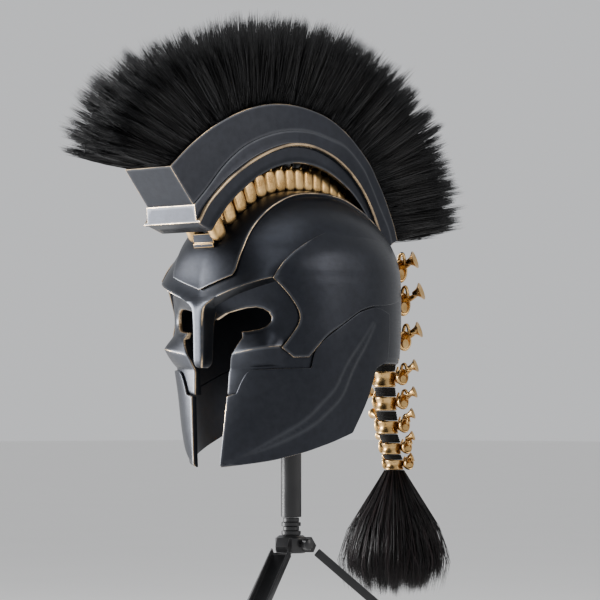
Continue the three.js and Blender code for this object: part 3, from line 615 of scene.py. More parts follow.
def plate_on_skin(outline, lift, under, spacing, side, wear_and_highlight, relief=None, lines=(), creases=()):
    """A plate with rounded edges over the skin; outline is in angle and height.

    worn gives how much less than fully the edge is rubbed gold and given painted highlight, as a factor on
    the distance to it.
    Points are set along lines, where the surface turns, and along creases, which get a band of painted
    highlight.
    """
    outline = spaced(np.asarray(outline) * [ARC, 1], 1.5)
    low, high = outline.min(0), outline.max(0)
    ticks = [np.arange(a, b, spacing) for a, b in zip(low, high)]
    grid = np.stack(np.meshgrid(*ticks), -1).reshape(-1, 2)
    grid = grid[inside(grid, outline)]
    grid = grid[distance(grid, outline) > 3.4]
    for line in (*lines, *creases):
        line = spaced(line, 1.6, closed=False)
        line = line[inside(line, outline)]
        line = line[distance(line, outline) > 3.0]
        grid = np.vstack([grid[distance(grid, line, closed=False) > 1.1], line])
    flat, faces = triangles(outline, np.vstack([edge_rings(outline, RING_DEPTHS), grid]))
    theta, z = flat[:, 0] / ARC, flat[:, 1]
    d = distance(flat, outline)
    height = lift(theta, z)
    v = row_at(theta, z)
    bump = relief(theta, z) if relief else 0
    outer = skin(theta, v, height - rounding(d) * np.clip(height / PLATE, 0, 1) + bump)
    inner = skin(theta, v, under(theta, v))
    points, faces = thick(outer, inner, faces)
    edge = (d + 0.12) * wear_and_highlight(theta, z)
    # Along each crease the finish paints a lighter band: painted highlight, fainter towards the front.
    for line in creases:
        crease_highlight = 2.2 + 0.3 * distance(flat, line, closed=False) + 1.5 * smooth(1 - theta / 45)
        edge = np.minimum(edge, crease_highlight)
    return points * [side, 1, 1], faces, np.concatenate([edge, np.full(len(flat), NO_WEAR_OR_HIGHLIGHT)])


def temple_lift(theta, z):
    """The temple plate stands proud in front and melts into the skull behind and above."""
    back = 1 - smooth((theta - 88) / 60)
    top = 1 - smooth((z - 222) / 30) * smooth((theta - 46) / 26)
    proud = 0.8 * (1 - smooth((theta - 44) / 14))
    return mix(-0.5, PLATE + proud, back * top)


def temple_wear_and_highlight(theta, z):
    """The plate's edge keeps its finish, with no rubbed gold and no painted highlight, where it sinks into
    the skull.
    """
    faded = 1 - np.clip(temple_lift(theta, z) / PLATE, 0, 1)
    return 1 + 7 * faded + 0.8 * smooth((theta - 58) / 40)


def build_temple_plates(gunmetal):
    outline = np.vstack([
        chain(TEMPLE_LOWER, [1])[:-1],
        chain([TEMPLE_LOWER[-1], TEMPLE_UPPER[-1]], [])[:-1],
        chain(TEMPLE_UPPER[::-1], [])[:-1],
        chain(TEMPLE_FRONT[::-1], [6])[:-1],
    ])

    def under(theta, v):
        return np.full(theta.shape, -1.2)

    for word, side in SIDES:
        body = Solid(plate_on_skin(outline, temple_lift, under, 3.2, side, temple_wear_and_highlight))
        body.piece(f"temple_visual_{word}", gunmetal, "plate", f"temple_plate_{word}", 34)


CHEEK_FOLD = [
    (100, 152), (93, 130), (83.8, 104.6), (76.7, 78.4), (66.9, 60.7), (55.3, 44.1), (34.5, 24.5), (14, 9),
]
FOLD_DEPTH = 2.6
FOLDS_AT = (0, -13)                # how far behind the first line each fold lies at its middle


def cheek_relief(theta, z):
    """The cheek steps back behind two soft folds that run forward to its tip."""
    at = np.stack([theta * ARC, z], 1)
    share = smooth((170 - z) / 60)
    past = [distance(at, fold_line(back), closed=False, signed=True) for back in FOLDS_AT]
    turned_back = sum(smooth((d + 2) / 5) for d in past)
    return -FOLD_DEPTH / 2 * share * turned_back


def fold_line(back):
    """A fold of the cheek in millimetres along and up the skin, some way behind the first."""
    line = curve(np.array(CHEEK_FOLD) * [ARC, 1], 6)
    run = np.gradient(line, axis=0)
    run /= np.linalg.norm(run, axis=1, keepdims=True)
    swell = np.sin(np.pi * np.linspace(0.1, 1, len(line)))[:, None]
    return line + back * swell * np.stack([-run[:, 1], run[:, 0]], 1)


def build_cheek_guards(gunmetal):
    lower = [(a, b) for a, b, _, _ in GUARD_RIBS]
    upper = [(a, b) for _, _, a, b in GUARD_RIBS]
    outline = np.vstack([
        chain(lower, [11, 13])[:-1],
        [lower[-1]],
        chain(upper[::-1], [8, 13])[:-1],
        [upper[0]],
    ])

    def lift(theta, z):
        return np.full(theta.shape, GUARD)

    def under(theta, v):
        return np.where(v < RIM_ROW - 0.05, -GUARD, 0.3)

    def wear_and_highlight(theta, z):
        return 1 + 2.6 * smooth((theta - 13) / 8) + 3 * smooth((theta - 60) / 20)

    turn = np.arange(12, 112, 1.0)
    rim = [np.stack([turn * ARC, skin(turn, RIM_ROW - drop)[:, 2]], 1) for drop in (0.03, 0.07)]
    folds = [fold_line(back) for back in FOLDS_AT]
    for word, side in SIDES:
        body = Solid(plate_on_skin(outline, lift, under, 3.0, side, wear_and_highlight, cheek_relief, rim, folds))
        body.piece(f"cheek_visual_{word}", gunmetal, "plate", f"cheek_guard_{word}", 34)


def build_crown_band(gunmetal):
    """The band runs from a point on the brow over the crown to the nape."""
    rows = curve(BAND, 4)
    half = 44
    steps = np.concatenate([[0, 0.3, 0.65, 1.1, 1.8, 3, 5], np.linspace(7, half, 14)])
    u = np.concatenate([steps / half - 1, (1 - steps / half)[-2::-1]])
    corner, shoulder = BAND_CORNER
    tip_theta = u * corner
    tip_row = row_at(tip_theta, mix(BAND_TIP, shoulder, np.abs(u)))
    angle, row = zip(*[row_over(u * w, np.full(len(u), y)) for y, w in rows])
    length = np.linalg.norm(skin(tip_theta, tip_row) - skin(angle[0], row[0]), axis=1)
    d_tip = [r * np.minimum(1, length / 6) for r in (0, 0.3, 0.65, 1.1, 1.8, 3)]
    d_tip += [mix(np.minimum(3, length / 2), length, t) for t in np.linspace(0, 1, 9)[1:-1]]
    theta = np.array([mix(tip_theta, angle[0], at / length) for at in d_tip] + list(angle))
    v = np.array([mix(tip_row, row[0], at / length) for at in d_tip] + list(row))
    d_tip = np.array(d_tip + [np.full(len(u), 20.0)] * len(rows))
    d = np.minimum(d_tip, (1 - np.abs(u)) * half)
    outer = skin(theta, v, PLATE - rounding(d))
    inner = skin(theta, v, -1.0)
    points, faces = thick(outer.reshape(-1, 3), inner.reshape(-1, 3), sheet_faces(*theta.shape))
    wear_and_highlight = (d + 0.1) * (1 + 0.7 * smooth((outer[..., 1] + 60) / 80))
    body = Solid((points, faces, np.concatenate([wear_and_highlight.ravel(), np.full(theta.size, NO_WEAR_OR_HIGHLIGHT)])))
    body.piece("crown_band_visual", gunmetal, "plate", "crown_band", 34)


# ---- crest box ----
CREST_STEPS = 8
BEAD_LINES = (2, 9, 16)            # points of the profile whose lines run on over the box's ends
END_ACROSS = np.array([0, 0.01, 0.022, 0.045, 0.1, 0.5, 0.9, 0.955, 0.978, 0.99, 1])


def crest_taper(s):
    """The box and its hair grow narrower behind."""
    return mix(1, 0.72, smooth((s - 8) / (CREST_END - 8)))


def crest_profile(row, taper):
    """Half outline of the box at one station and how far each point is from a rubbed edge."""
    a, b, c, d = row[:8].reshape(4, 2)

    def spot(x, start, end, mm):
        return (x * taper, *(start + (end - start) * mm / max(1, np.linalg.norm(end - start))))

    upper, strip, lower = (np.linalg.norm(q - p) for p, q in ((a, b), (b, c), (c, d)))
    top, step, bead, low = CREST_TOP, CREST_STEP, CREST_BEAD, CREST_LOW
    return [
        (spot(top - 3, a, b, 0), 3), (spot(top - 1, a, b, 0), 1.2), (spot(top - 0.3, a, b, 0.3), 0.2),
        (spot(top, a, b, 1), 1.3), (spot(top, a, b, 3), 4), (spot(top + 0.2, a, b, upper / 2), 9),
        (spot(step - 1.3, a, b, upper - 3), 3), (spot(step - 1.3, a, b, upper - 0.4), 1.6),
        (spot(step + 0.1, b, c, -0.2), 0.75), (spot(step + 0.5, b, c, 0.4), 0.75),
        (spot(step + 0.6, b, c, 1.4), 2), (spot(step + 0.8, b, c, strip * 0.5), 9),
        (spot(step + 1, b, c, strip - 3.4), 3), (spot(step + 1.2, b, c, strip - 2.4), 1.4),
        (spot(bead - 2.2, b, c, strip - 2.1), 0.4), (spot(bead - 0.7, b, c, strip - 1.5), 0),
        (spot(bead, b, c, strip - 0.4), 0), (spot(bead - 0.2, c, d, 0.7), 0),
        (spot(bead - 1.2, c, d, 1.6), 0.3), (spot(low + 1.4, c, d, 2.1), 1.6),
        (spot(low + 0.4, c, d, 2.8), 3), (spot(low + 0.2, c, d, lower * 0.6), 9),
        (spot(low, c, d, lower - 1), 1.2), (spot(low - 0.5, c, d, lower), 0.55),
        (spot(low - 2, c, d, lower), 2), (spot(low - 5, c, d, lower), 5),
        (spot(low - 6, d, c, lower * 0.5), 9),
    ]


def clear_of_skull(points, off):
    """Points pushed out to lie no deeper than off above the skin."""
    points = np.array(points, float)
    theta, v = row_over(points[:, 0], points[:, 1])
    at = skin(theta, v, off)
    low = (points[:, 2] < at[:, 2]) & (v > 8.2)
    points[low, 2] = at[low, 2]
    return points


def crest_end(near, far):
    """The sheet that closes an end of the box between its left and right outlines."""
    sheet = near[None] + (far - near)[None] * END_ACROSS[:, None, None]
    side = np.minimum(END_ACROSS, 1 - END_ACROSS)[:, None] * np.linalg.norm(far - near, axis=1)[None]
    run = run_along(near)
    to_line = np.min([np.abs(run - run[k]) for k in BEAD_LINES], axis=0)
    wear_and_highlight = np.minimum(side + 0.3, to_line[None] + 0.15)
    return sheet.reshape(-1, 3), sheet_faces(*sheet.shape[:2]), wear_and_highlight.ravel()


def build_crest_box(gunmetal):
    rows = curve(CREST, CREST_STEPS)
    forward = run_along(rows[:, :2])
    rings, edge = [], []
    for k, row in enumerate(rows):
        profile = crest_profile(row, crest_taper(k / CREST_STEPS))
        rings.append(mirrored([p for p, _ in profile]))
        wear_and_highlight = np.array([e for _, e in profile])
        wear_and_highlight[8:10] += 0.9 * min(1, forward[k] / 120)
        wear_and_highlight = np.minimum(wear_and_highlight, forward[k] + 0.15)
        edge.append(np.concatenate([wear_and_highlight, wear_and_highlight[::-1]]))
    points, faces = loft(rings, caps=False)
    points = clear_of_skull(points, PLATE + 0.3)
    around = points.reshape(len(rows), -1, 3)
    half = around.shape[1] // 2
    ends = [crest_end(ring[:half], ring[half:][::-1]) for ring in (around[0], around[-1])]
    body = Solid((points, faces, np.concatenate(edge)), *ends)
    body.piece("crest_visual", gunmetal, "shell", "crest_box", 30)


# ---- spine between the skull and the crest ----
def crest_underside(y):
    """Height of the crest box's lower edge."""
    marks = (CREST[:, 4:6] + CREST[:, 6:8]) / 2
    return np.interp(y, marks[:, 0], marks[:, 1])


# lozenge: distance from the crest's middle plane, share of full width and height
LOZENGE = [
    (9.5, 0.4), (11, 0.78), (13, 0.95), (16, 1), (19, 1), (20.6, 0.97), (21.5, 0.9), (22, 0.76),
    (22.2, 0.5),
]
PEARL = [(0.2, -2.6), (1.9, -1.9), (2.7, 0), (1.9, 1.9), (0.2, 2.6)]       # radius and height


def superellipse(count, n_wide, n_tall):
    """A rounded box of half size 1 from the powers of its cosine and sine."""
    a = round_angles(count)
    c, s = np.cos(a), np.sin(a)
    return np.stack([np.sign(c) * np.abs(c) ** n_wide, np.sign(s) * np.abs(s) ** n_tall], 1)


def arch_vertebra(k):
    """A bow across the crest with a rounded lozenge hanging at each end."""
    t = k / (ARCH_COUNT - 1)
    y = mix(*ARCH_SPAN, t + ARCH_BUNCH * t * (1 - t))
    theta, v = row_over(np.array([18.0]), np.array([y]))
    _, foot_y, foot_z = skin(theta, v, PLATE + 1.4)[0]
    tall = min(ARCH_TALL, crest_underside(foot_y) - foot_z - 5)
    steep = math.pi / 2 + mix(0.5, -0.34, t)
    cos, sin = math.cos(steep), math.sin(steep)

    def spot(x, along, out):
        return (x, foot_y + cos * out + sin * along, foot_z + sin * out - cos * along)

    slim = mix(1, 0.9, smooth((t - 0.35) / 0.4))
    apart = (ARCH_SPAN[1] - ARCH_SPAN[0]) / (ARCH_COUNT - 1)
    wide, high = apart * (0.6 + ARCH_BUNCH * (0.5 - t)), (tall * 1.04 * slim + ARCH_DROP) / 2
    middle = high - ARCH_DROP
    outline = superellipse(20, 0.55, 0.6)
    body = Solid()
    for side in (-1, 1):
        body.add(*loft([[spot(side * x, c * wide * size, middle + o * high * size) for c, o in outline]
                        for x, size in LOZENGE]))
        neck = [spot(side * 17, -1.2, middle + high * 0.7), spot(side * 15.5, -2.2, tall * 0.84),
                spot(side * 12, -1, tall * 0.92)]
        body.add(*tube(curve(neck, 4), np.full((9, 2), 2.3), 10, up=(1, 0, 0)))
        hook = [spot(side * 18, 1, middle + high * 0.5), spot(side * 20.5, 3, middle + high * 0.95),
                spot(side * 20, 6, middle + high * 1.2)]
        body.add(*tube(curve(hook, 4), np.linspace([2.2, 2.2], [1.2, 1.2], 9), 10, up=(1, 0, 0)))
        body.add(*turned(PEARL, 12, axis=(0, 0, 1), origin=spot(side * 15.2, -2.4, tall * 0.86)))
    bow = [spot(x, 0, tall * h) for x, h in ((-13, 0.8), (-7, 0.86), (0, 0.9), (7, 0.86), (13, 0.8))]
    body.add(*tube(curve(bow, 3), np.tile([4.2, 1.7], (13, 1)), 12, up=(0, 0, 1)))
    return body


def build_arch(gold):
    for k in range(ARCH_COUNT):
        number = f"{k + 1:02d}"
        arch_vertebra(k).piece(f"arch_visual_{number}", gold, "gold", f"arch_vertebra_{number}", 60)


# ---- hanging spine ----
# lower half of a centrum: shares of its radius and height
SPOOL = [
    (0.5, -0.5), (0.86, -0.5), (0.96, -0.475), (1, -0.42), (0.985, -0.36), (0.9, -0.24), (0.845, -0.1),
    (0.83, 0),
]
# flared end of a process: radius and distance along it
BELL = [
    (1.2, -9), (2.1, -8), (2.6, -5.6), (3.4, -3.2), (4.7, -1.2), (6.1, 0.4), (7.0, 1.4), (6.9, 2.1),
    (5.6, 1.6), (3.2, 0.2), (0.2, -0.8),
]
# hoop beside the centrum: share of its outline and distance outwards
HOOP = [
    (0.4, -5.6), (0.86, -4), (1.0, -1.4), (1.04, 0.8), (1.0, 1.8), (0.9, 2.4), (0.8, 2.2), (0.73, 1.2),
    (0.66, -0.8), (0.5, -2.2), (0.28, -2.9), (0.05, -3.1),
]


def hoop(side, middle, wide, tall):
    """An oval rim round a dished middle, facing outwards beside the centrum."""
    facing = np.array(Vector((side * 0.96, -0.16, 0.06)).normalized())
    across = np.cross((0, 0, 1), facing)
    a = round_angles(28)
    spokes = np.outer(np.cos(a) * wide, across) + np.outer(np.sin(a) * tall, (0, 0, 1))
    return loft([np.array(middle) + spokes * share + facing * out for share, out in HOOP])


def side_process(body, side, y, z, r, h, span, rise):
    """The hoop, the arm with its flared end and the loop on one side of a tail vertebra."""
    slim, flare = np.interp(h, [11, 24], [0.62, 1.0]), np.interp(h, [11, 24], [0.72, 1.4])
    size = min(1.0, h / 20) * 0.35 + 0.65
    middle = (side * r * 1.66, y + r * 0.5, z + h * 0.14)
    body.add(*hoop(side, middle, 9.2 * slim, max(11, h * 0.52) * slim))
    arm = curve([
        (side * r * 0.6, y + r * 1.05, z + h * 0.1), (side * r * 1.5, y + r * 0.85, z + h * 0.28),
        (side * (span * 0.72), y + r * 0.76, z + rise * 0.66),
        (side * (span - 5), y + r * 0.7, z + rise - 2),
    ], 5)
    thin = np.interp(np.linspace(0, 1, len(arm)), [0, 0.35, 0.7, 1], [4.2, 3.2, 2.5, 2.3]) * size
    body.add(*tube(arm, np.stack([thin, thin * 1.15], 1), 14))
    bell = [(radius * flare, along * size) for radius, along in BELL]
    tip = (side * (span - 1), y + r * 0.68, z + rise)
    body.add(*turned(bell, 28, axis=(side * 0.8, 0.46, 0.32), origin=tip))
    loop = curve([
        (side * r * 1.2, y + r * 0.8, z + h * 0.4), (side * r * 1.4, y + r * 0.8, z + h * 0.88),
        (side * r * 1.85, y + r * 0.7, z + h * 0.92), (side * r * 2.2, y + r * 0.6, z + h * 0.42),
    ], 5)
    body.add(*tube(loop, np.full((len(loop), 2), 1.7) * [1, 1.3] * size, 12, up=(0, 1, 0)))


def tail_vertebra(y, z, r, h, span, rise):
    """A waisted centrum with a process on each side, a spur behind and a bar that joins them."""
    spool = [(r * a, z + b * h) for a, b in SPOOL + [(a, -b) for a, b in SPOOL[-2::-1]]]
    body = Solid(turned(spool, 44, (0, y)))
    for side in (-1, 1):
        side_process(body, side, y, z, r, h, span, rise)
    spur = curve([
        (0, y + r * 1.2, z + h * 0.05), (0, y + r * 1.5, z + h * 0.35), (0, y + r * 1.72, z + h * 0.8),
    ], 4)
    body.add(*tube(spur, np.linspace([3.2, 3.2], [1.2, 1.2], len(spur)), 12, up=(1, 0, 0)))
    bar = curve([
        (-r * 1.8, y + r * 0.52, z), (-r * 0.9, y + r * 0.95, z), (0, y + r * 1.2, z + h * 0.05),
        (r * 0.9, y + r * 0.95, z), (r * 1.8, y + r * 0.52, z),
    ], 4)
    deep = np.interp(np.linspace(-1, 1, len(bar)), [-1, 0, 1], [0.24, 0.32, 0.24]) * h
    body.add(*tube(bar, np.stack([np.full(len(bar), 3.6), deep], 1), 14))
    return body


def tail_disc(upper, lower):
    """Cord wound between two vertebrae, swelling a little at each turn."""
    y0, z0, r0, h0, *_ = upper
    y1, z1, r1, h1, *_ = lower
    top, low = z0 - h0 / 2 - 0.3, z1 + h1 / 2 + 0.3
    a = round_angles(40)
    turns = max(3, round((top - low) / 2.4))
    rings = []
    for t in np.linspace(0, 1, turns * 6 + 1):
        r = mix(r0, r1, t) * (0.9 + 0.05 * abs(math.sin(math.pi * turns * t)))
        if t in (0, 1):
            r *= 0.9
        rings.append(np.stack([r * np.cos(a), mix(y0, y1, t) + r * np.sin(a), mix(top, low, t) + 0 * a], 1))
    return Solid(loft(rings))


def build_tail(gold, cord):
    for k, row in enumerate(TAIL, 1):
        tail_vertebra(*row).piece(f"tail_visual_{k}", gold, "gold", f"tail_vertebra_{k}", 50)
    for k, pair in enumerate(zip(TAIL, TAIL[1:]), 1):
        tail_disc(*pair).piece(f"disc_visual_{k}", cord, "cord", f"tail_disc_{k}", 60)


# ---- hair ----
HAIR_SIDES = 3


def strand_faces(stations):
    """Quads along one three-sided hair, and the triangles at its tip and root."""
    ring = [(k, (k + 1) % HAIR_SIDES) for k in range(HAIR_SIDES)]
    starts = [s * HAIR_SIDES for s in range(stations - 1)]
    quads = [[s + a, s + b, s + HAIR_SIDES + b, s + HAIR_SIDES + a] for s in starts[:-1] for a, b in ring]
    tip = [[starts[-1] + a, starts[-1] + b, starts[-1] + HAIR_SIDES] for a, b in ring]
    return np.array(quads), np.array(tip + [[2, 1, 0]])


def strands(name, paths, width, shade, material):
    """Tapered three-sided hairs as one mesh; paths holds the points of each hair."""
    count, stations = paths.shape[:2]
    along = np.gradient(paths, axis=1)
    along /= np.linalg.norm(along, axis=2, keepdims=True)
    side = np.cross(along, rng.normal(size=(count, 1, 3)))
    side /= np.linalg.norm(side, axis=2, keepdims=True)
    top = np.cross(along, side)
    taper = np.linspace(1, 0.55, stations)[None, :, None]
    corners = [paths + (side * math.cos(a) + top * math.sin(a)) * width * taper
               for a in round_angles(HAIR_SIDES)]
    points = np.stack(corners, 2)[:, :-1].reshape(count, -1, 3)
    points = np.concatenate([points, paths[:, -1:]], 1)
    each = points.shape[1]
    quads, ends = strand_faces(stations)
    starts = (np.arange(count) * each)[:, None]
    loops = np.concatenate([(faces.reshape(1, -1) + starts).ravel() for faces in (quads, ends)])
    sizes = np.repeat([4, 3], [len(quads) * count, len(ends) * count])
    mesh = bpy.data.meshes.new(name)
    mesh.vertices.add(count * each)
    mesh.vertices.foreach_set("co", place(points.reshape(-1, 3)).ravel())
    mesh.loops.add(len(loops))
    mesh.loops.foreach_set("vertex_index", loops.astype(np.int32))
    mesh.polygons.add(len(sizes))
    mesh.polygons.foreach_set("loop_start", np.concatenate([[0], np.cumsum(sizes)[:-1]]).astype(np.int32))
    mesh.update(calc_edges=True)
    add_attribute(mesh, "strand", np.repeat(shade, each))
    mesh.materials.append(material)
    mesh.shade_smooth()
    add_piece(name, mesh)


PLUME_PIECES = 3
PLUME_HAIRS = 10000                # hairs in each piece
PLUME_SEED, TASSEL_SEED = 3, 5
PLUME_ROOT, PLUME_TIP = 31, 40     # half widths of the plume at its root and its tip
PLUME_HAIR, TASSEL_HAIR = 0.5, 0.42            # half widths of a hair
LOCKS_ALONG, LOCKS_ACROSS = 84, 7
OUTER_SHARE, OUTER_FROM = 0.72, 0.66           # most hairs stand in the outer third, where they show


def lock_slope(table, stations, s):
    """How far the hair tips move in Y and Z across the width of one lock."""
    wide = CREST_END / LOCKS_ALONG
    moves = (wide / 2, -wide / 2)
    ahead, behind = ([np.interp(s + move, stations, table[:, k]) for k in (8, 9)] for move in moves)
    return np.subtract(ahead, behind)


def plume_hairs(count, low, high):
    """Hairs that stand on the top of the crest box between two stations and fan outwards."""
    table = curve(CREST, 12)
    stations = np.linspace(0, CREST_END, len(table))
    weight = run_along(table[:, 8:10])
    span = np.interp([low, high], stations, weight)
    s = np.interp(rng.uniform(*span, count), weight, stations)
    outside = rng.uniform(0, 1, count) < OUTER_SHARE
    u = np.where(outside, rng.uniform(OUTER_FROM, 1, count), rng.uniform(0, OUTER_FROM, count))
    u *= rng.choice([-1, 1], count)
    row = np.stack([np.interp(s, stations, table[:, k]) for k in range(10)], 1)
    narrow = crest_taper(s)
    root = np.stack([u * PLUME_ROOT * narrow, row[:, 0], row[:, 1] + 0.2], 1)
    tip = np.stack([u * PLUME_TIP * narrow, row[:, 8], row[:, 9]], 1)
    along, across = s / CREST_END * LOCKS_ALONG, (u + 1) / 2 * LOCKS_ACROSS
    lock = (np.floor(along) * LOCKS_ACROSS + np.minimum(np.floor(across), LOCKS_ACROSS - 1)).astype(int)
    locks = np.random.default_rng(PLUME_SEED)
    total = (LOCKS_ALONG + 1) * LOCKS_ACROSS
    lean = locks.normal(0, 1, (total, 3)) * [3, 4, 3]
    short = locks.uniform(0, 0.05, total)
    full = 1.03 - 0.2 * np.abs(u) ** 3 - 0.05 * smooth((s - 9) / 3)
    part = full - short[lock] - rng.uniform(0, 1, count) ** 2.5 * 0.2
    stray = rng.uniform(0, 1, count) > 0.985
    part += stray * rng.uniform(0, 0.05, count)
    part += 0.05 * (1 - smooth(s / 1.5)) * rng.uniform(0, 1, count) ** 3
    gather = np.stack([0 * s, *(lock_slope(table, stations, s) * (0.5 - along % 1) * 0.5)], 1)
    loose = rng.normal(0, 1, (count, 3)) * [1.5, 2, 1.5]
    tip = root + (tip - root) * part[:, None] + gather + lean[lock] + loose
    bend = rng.normal(0, 1, (count, 3)) * 1.6 + lean[lock] * 0.2
    t = np.linspace(0, 1, 4)[None, :, None]
    paths = root[:, None] * (1 - t) + tip[:, None] * t + bend[:, None] * (t * (1 - t) * 4)
    return paths, s


def plume_core(material):
    """Dark packed hair under the loose outer hairs."""
    rings = []
    for k, row in enumerate(curve(CREST, 4)):
        narrow = crest_taper(k / 4)
        root, tip = row[0:2], row[8:10]
        wave = 0.02 * math.sin(k * 1.9)
        half = [(25, 0.004), (26, 0.3), (26, 0.6), (19, 0.72 + wave), (7, 0.75 - wave)]
        rings.append(mirrored([(x * narrow, *(root + (tip - root) * f)) for x, f in half]))
    Solid(loft(rings)).piece("plume_core", material, "hair", "crest_plume", 60)


def build_plume(hair, packed):
    plume_core(packed)
    stops = np.linspace(0, CREST_END, PLUME_PIECES + 1)
    for k in range(PLUME_PIECES):
        paths, s = plume_hairs(PLUME_HAIRS, stops[k], stops[k + 1])
        # Hairs at the front of the plume are lighter than the rest: painted highlight.
        front_highlight = 1 - smooth((s - 1.5) / 4)
        shade = rng.uniform(0, 1, len(paths)) ** 3 * mix(0.45, 1.0, front_highlight)
        strands(f"plume_hair_{k + 1}", paths, PLUME_HAIR, shade, hair)


# tassel: height and radius of its outline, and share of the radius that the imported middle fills
TASSEL = np.array([
    (0, 8, 0.8), (-12, 12, 0.8), (-30, 23, 0.72), (-55, 38, 0.62), (-84, 49, 0.5), (-112, 54, 0.3),
    (-130, 50, 0.06), (-150, 40, 0),
])
TASSEL_HAIRS = 8200
TASSEL_LOCKS = 34


def tassel_hairs(count):
    """Loose hair in pointed locks of unlike lengths."""
    locks = np.random.default_rng(TASSEL_SEED)
    turn = locks.uniform(0, 2 * math.pi, TASSEL_LOCKS)
    far = np.sqrt(locks.uniform(0.05, 1, TASSEL_LOCKS))
    low = -146 + 36 * far ** 2 * locks.uniform(0.2, 1, TASSEL_LOCKS)
    lock = rng.integers(0, TASSEL_LOCKS, count)
    angle = turn[lock] + rng.normal(0, 0.3, count)
    depth = np.clip(far[lock] + rng.normal(0, 0.14, count), 0.05, 1.04)
    stray = rng.uniform(0, 1, count) < 0.035
    angle[stray] = rng.uniform(0, 2 * math.pi, stray.sum())
    depth[stray] = rng.uniform(0.95, 1.2, stray.sum())
    end = low[lock] + np.abs(rng.normal(0, 11, count))
    sway = rng.normal(0, 1, (count, 2)) * 2.6
    paths = []
    for t in np.linspace(0, 1, 5):
        z = mix(-3.5, end, t)
        r = np.interp(-z, -TASSEL[:, 0], TASSEL[:, 1]) * mix(depth, far[lock], 0.45 * t ** 2 * ~stray)
        a = mix(angle, turn[lock], 0.6 * t ** 2 * ~stray)
        x, y = (math.sin(3 * t) * sway * t).T
        paths.append(np.stack([r * np.cos(a) + x, TASSEL_Y + r * np.sin(a) + y, z], 1))
    return np.stack(paths, 1)


def tassel_core(material):
    """Packed hair in the middle of the tassel."""
    a = round_angles(36)
    rings = []
    for z, r, share in TASSEL[:-1]:
        r = r * share * (1 + 0.05 * np.cos(a * 13))
        rings.append(np.stack([r * np.cos(a), TASSEL_Y + r * np.sin(a), min(z, -4) + 0 * a], 1))
    Solid(loft(rings)).piece("tassel_core", material, "hair", "tassel", 60)


def build_tassel(hair, packed):
    paths = tassel_hairs(TASSEL_HAIRS)
    shade = rng.uniform(0, 1, TASSEL_HAIRS) ** 3
    strands("tassel_hair", paths, TASSEL_HAIR, shade, hair)
    tassel_core(packed)


# ---- bracket and stand ----
def refined(node, name, materials, bevel):
    """A CAD node with its edges rounded; a second material goes on the rounded edges."""
    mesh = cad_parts[node].data.copy()
    mesh.name = name
    mesh.transform(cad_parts[node].matrix_world)
    mesh.materials.clear()
    for m in materials:
        mesh.materials.append(m)
    bm = bmesh.new()
    bm.from_mesh(mesh)
    bmesh.ops.remove_doubles(bm, verts=bm.verts, dist=1e-5)
    for face in bm.faces:
        face.material_index = 0
    bmesh.ops.dissolve_limit(bm, angle_limit=math.radians(1.5), verts=bm.verts, edges=bm.edges)
    edges = [e for e in bm.edges if len(e.link_faces) == 2 and e.calc_face_angle(0) > math.radians(40)]
    bmesh.ops.bevel(bm, geom=edges, offset=bevel / 1000, segments=3, profile=0.6, affect="EDGES",
                    clamp_overlap=True, material=len(materials) - 1)
    bm.to_mesh(mesh)
    bm.free()
    add_attribute(mesh, "edge_mm", np.full(len(mesh.vertices), NO_WEAR_OR_HIGHLIGHT))
    add_smooth_piece(name, mesh, node, 32)


def heights(low, high):
    """The lower and upper end of a CAD box in the helmet's millimetres."""
    return low.z * 1000 - ORIGIN[2], high.z * 1000 - ORIGIN[2]


def build_post(black):
    """The tube and the padded plate on it that carries the dome."""
    radius = (post_high.x - post_low.x) * 500
    low, high = heights(post_low, post_high)
    body = Solid(turned([
        (3, low), (10.4, low), (11, low + 0.6), (11, 271), (13, 273.5), (40, 276.6), (radius - 0.8, 277.3),
        (radius, 278.4), (radius, 280.4), (radius - 0.9, 281.4), (30, 284), (3, high),
    ], 64))
    body.piece("post_visual", black, "stand", "stand_post", 40)


def build_collar(black):
    low, high = heights(*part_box("stand_collar"))
    profile = [(3, low)]
    for k, r in enumerate((10.4, 8.6, 10.4, 8.6)):
        a, b = mix(low, high, k / 4), mix(low, high, (k + 1) / 4)
        profile += [(r - 0.5, a + 0.1), (r, a + 0.6), (r, b - 0.6), (r - 0.5, b - 0.1)]
    body = Solid(turned(profile + [(3, high)], 48))
    body.piece("collar_visual", black, "stand", "stand_collar", 40)


def build_stand(black, rubber):
    build_post(black)
    build_collar(black)
    for part in ("hub", "knob", "leg_1", "leg_2", "leg_3"):
        refined(f"stand_{part}", f"{part}_visual", [black], 0.8)
    for k in (1, 2, 3):
        refined(f"stand_foot_{k}", f"foot_visual_{k}", [rubber], 1.2)


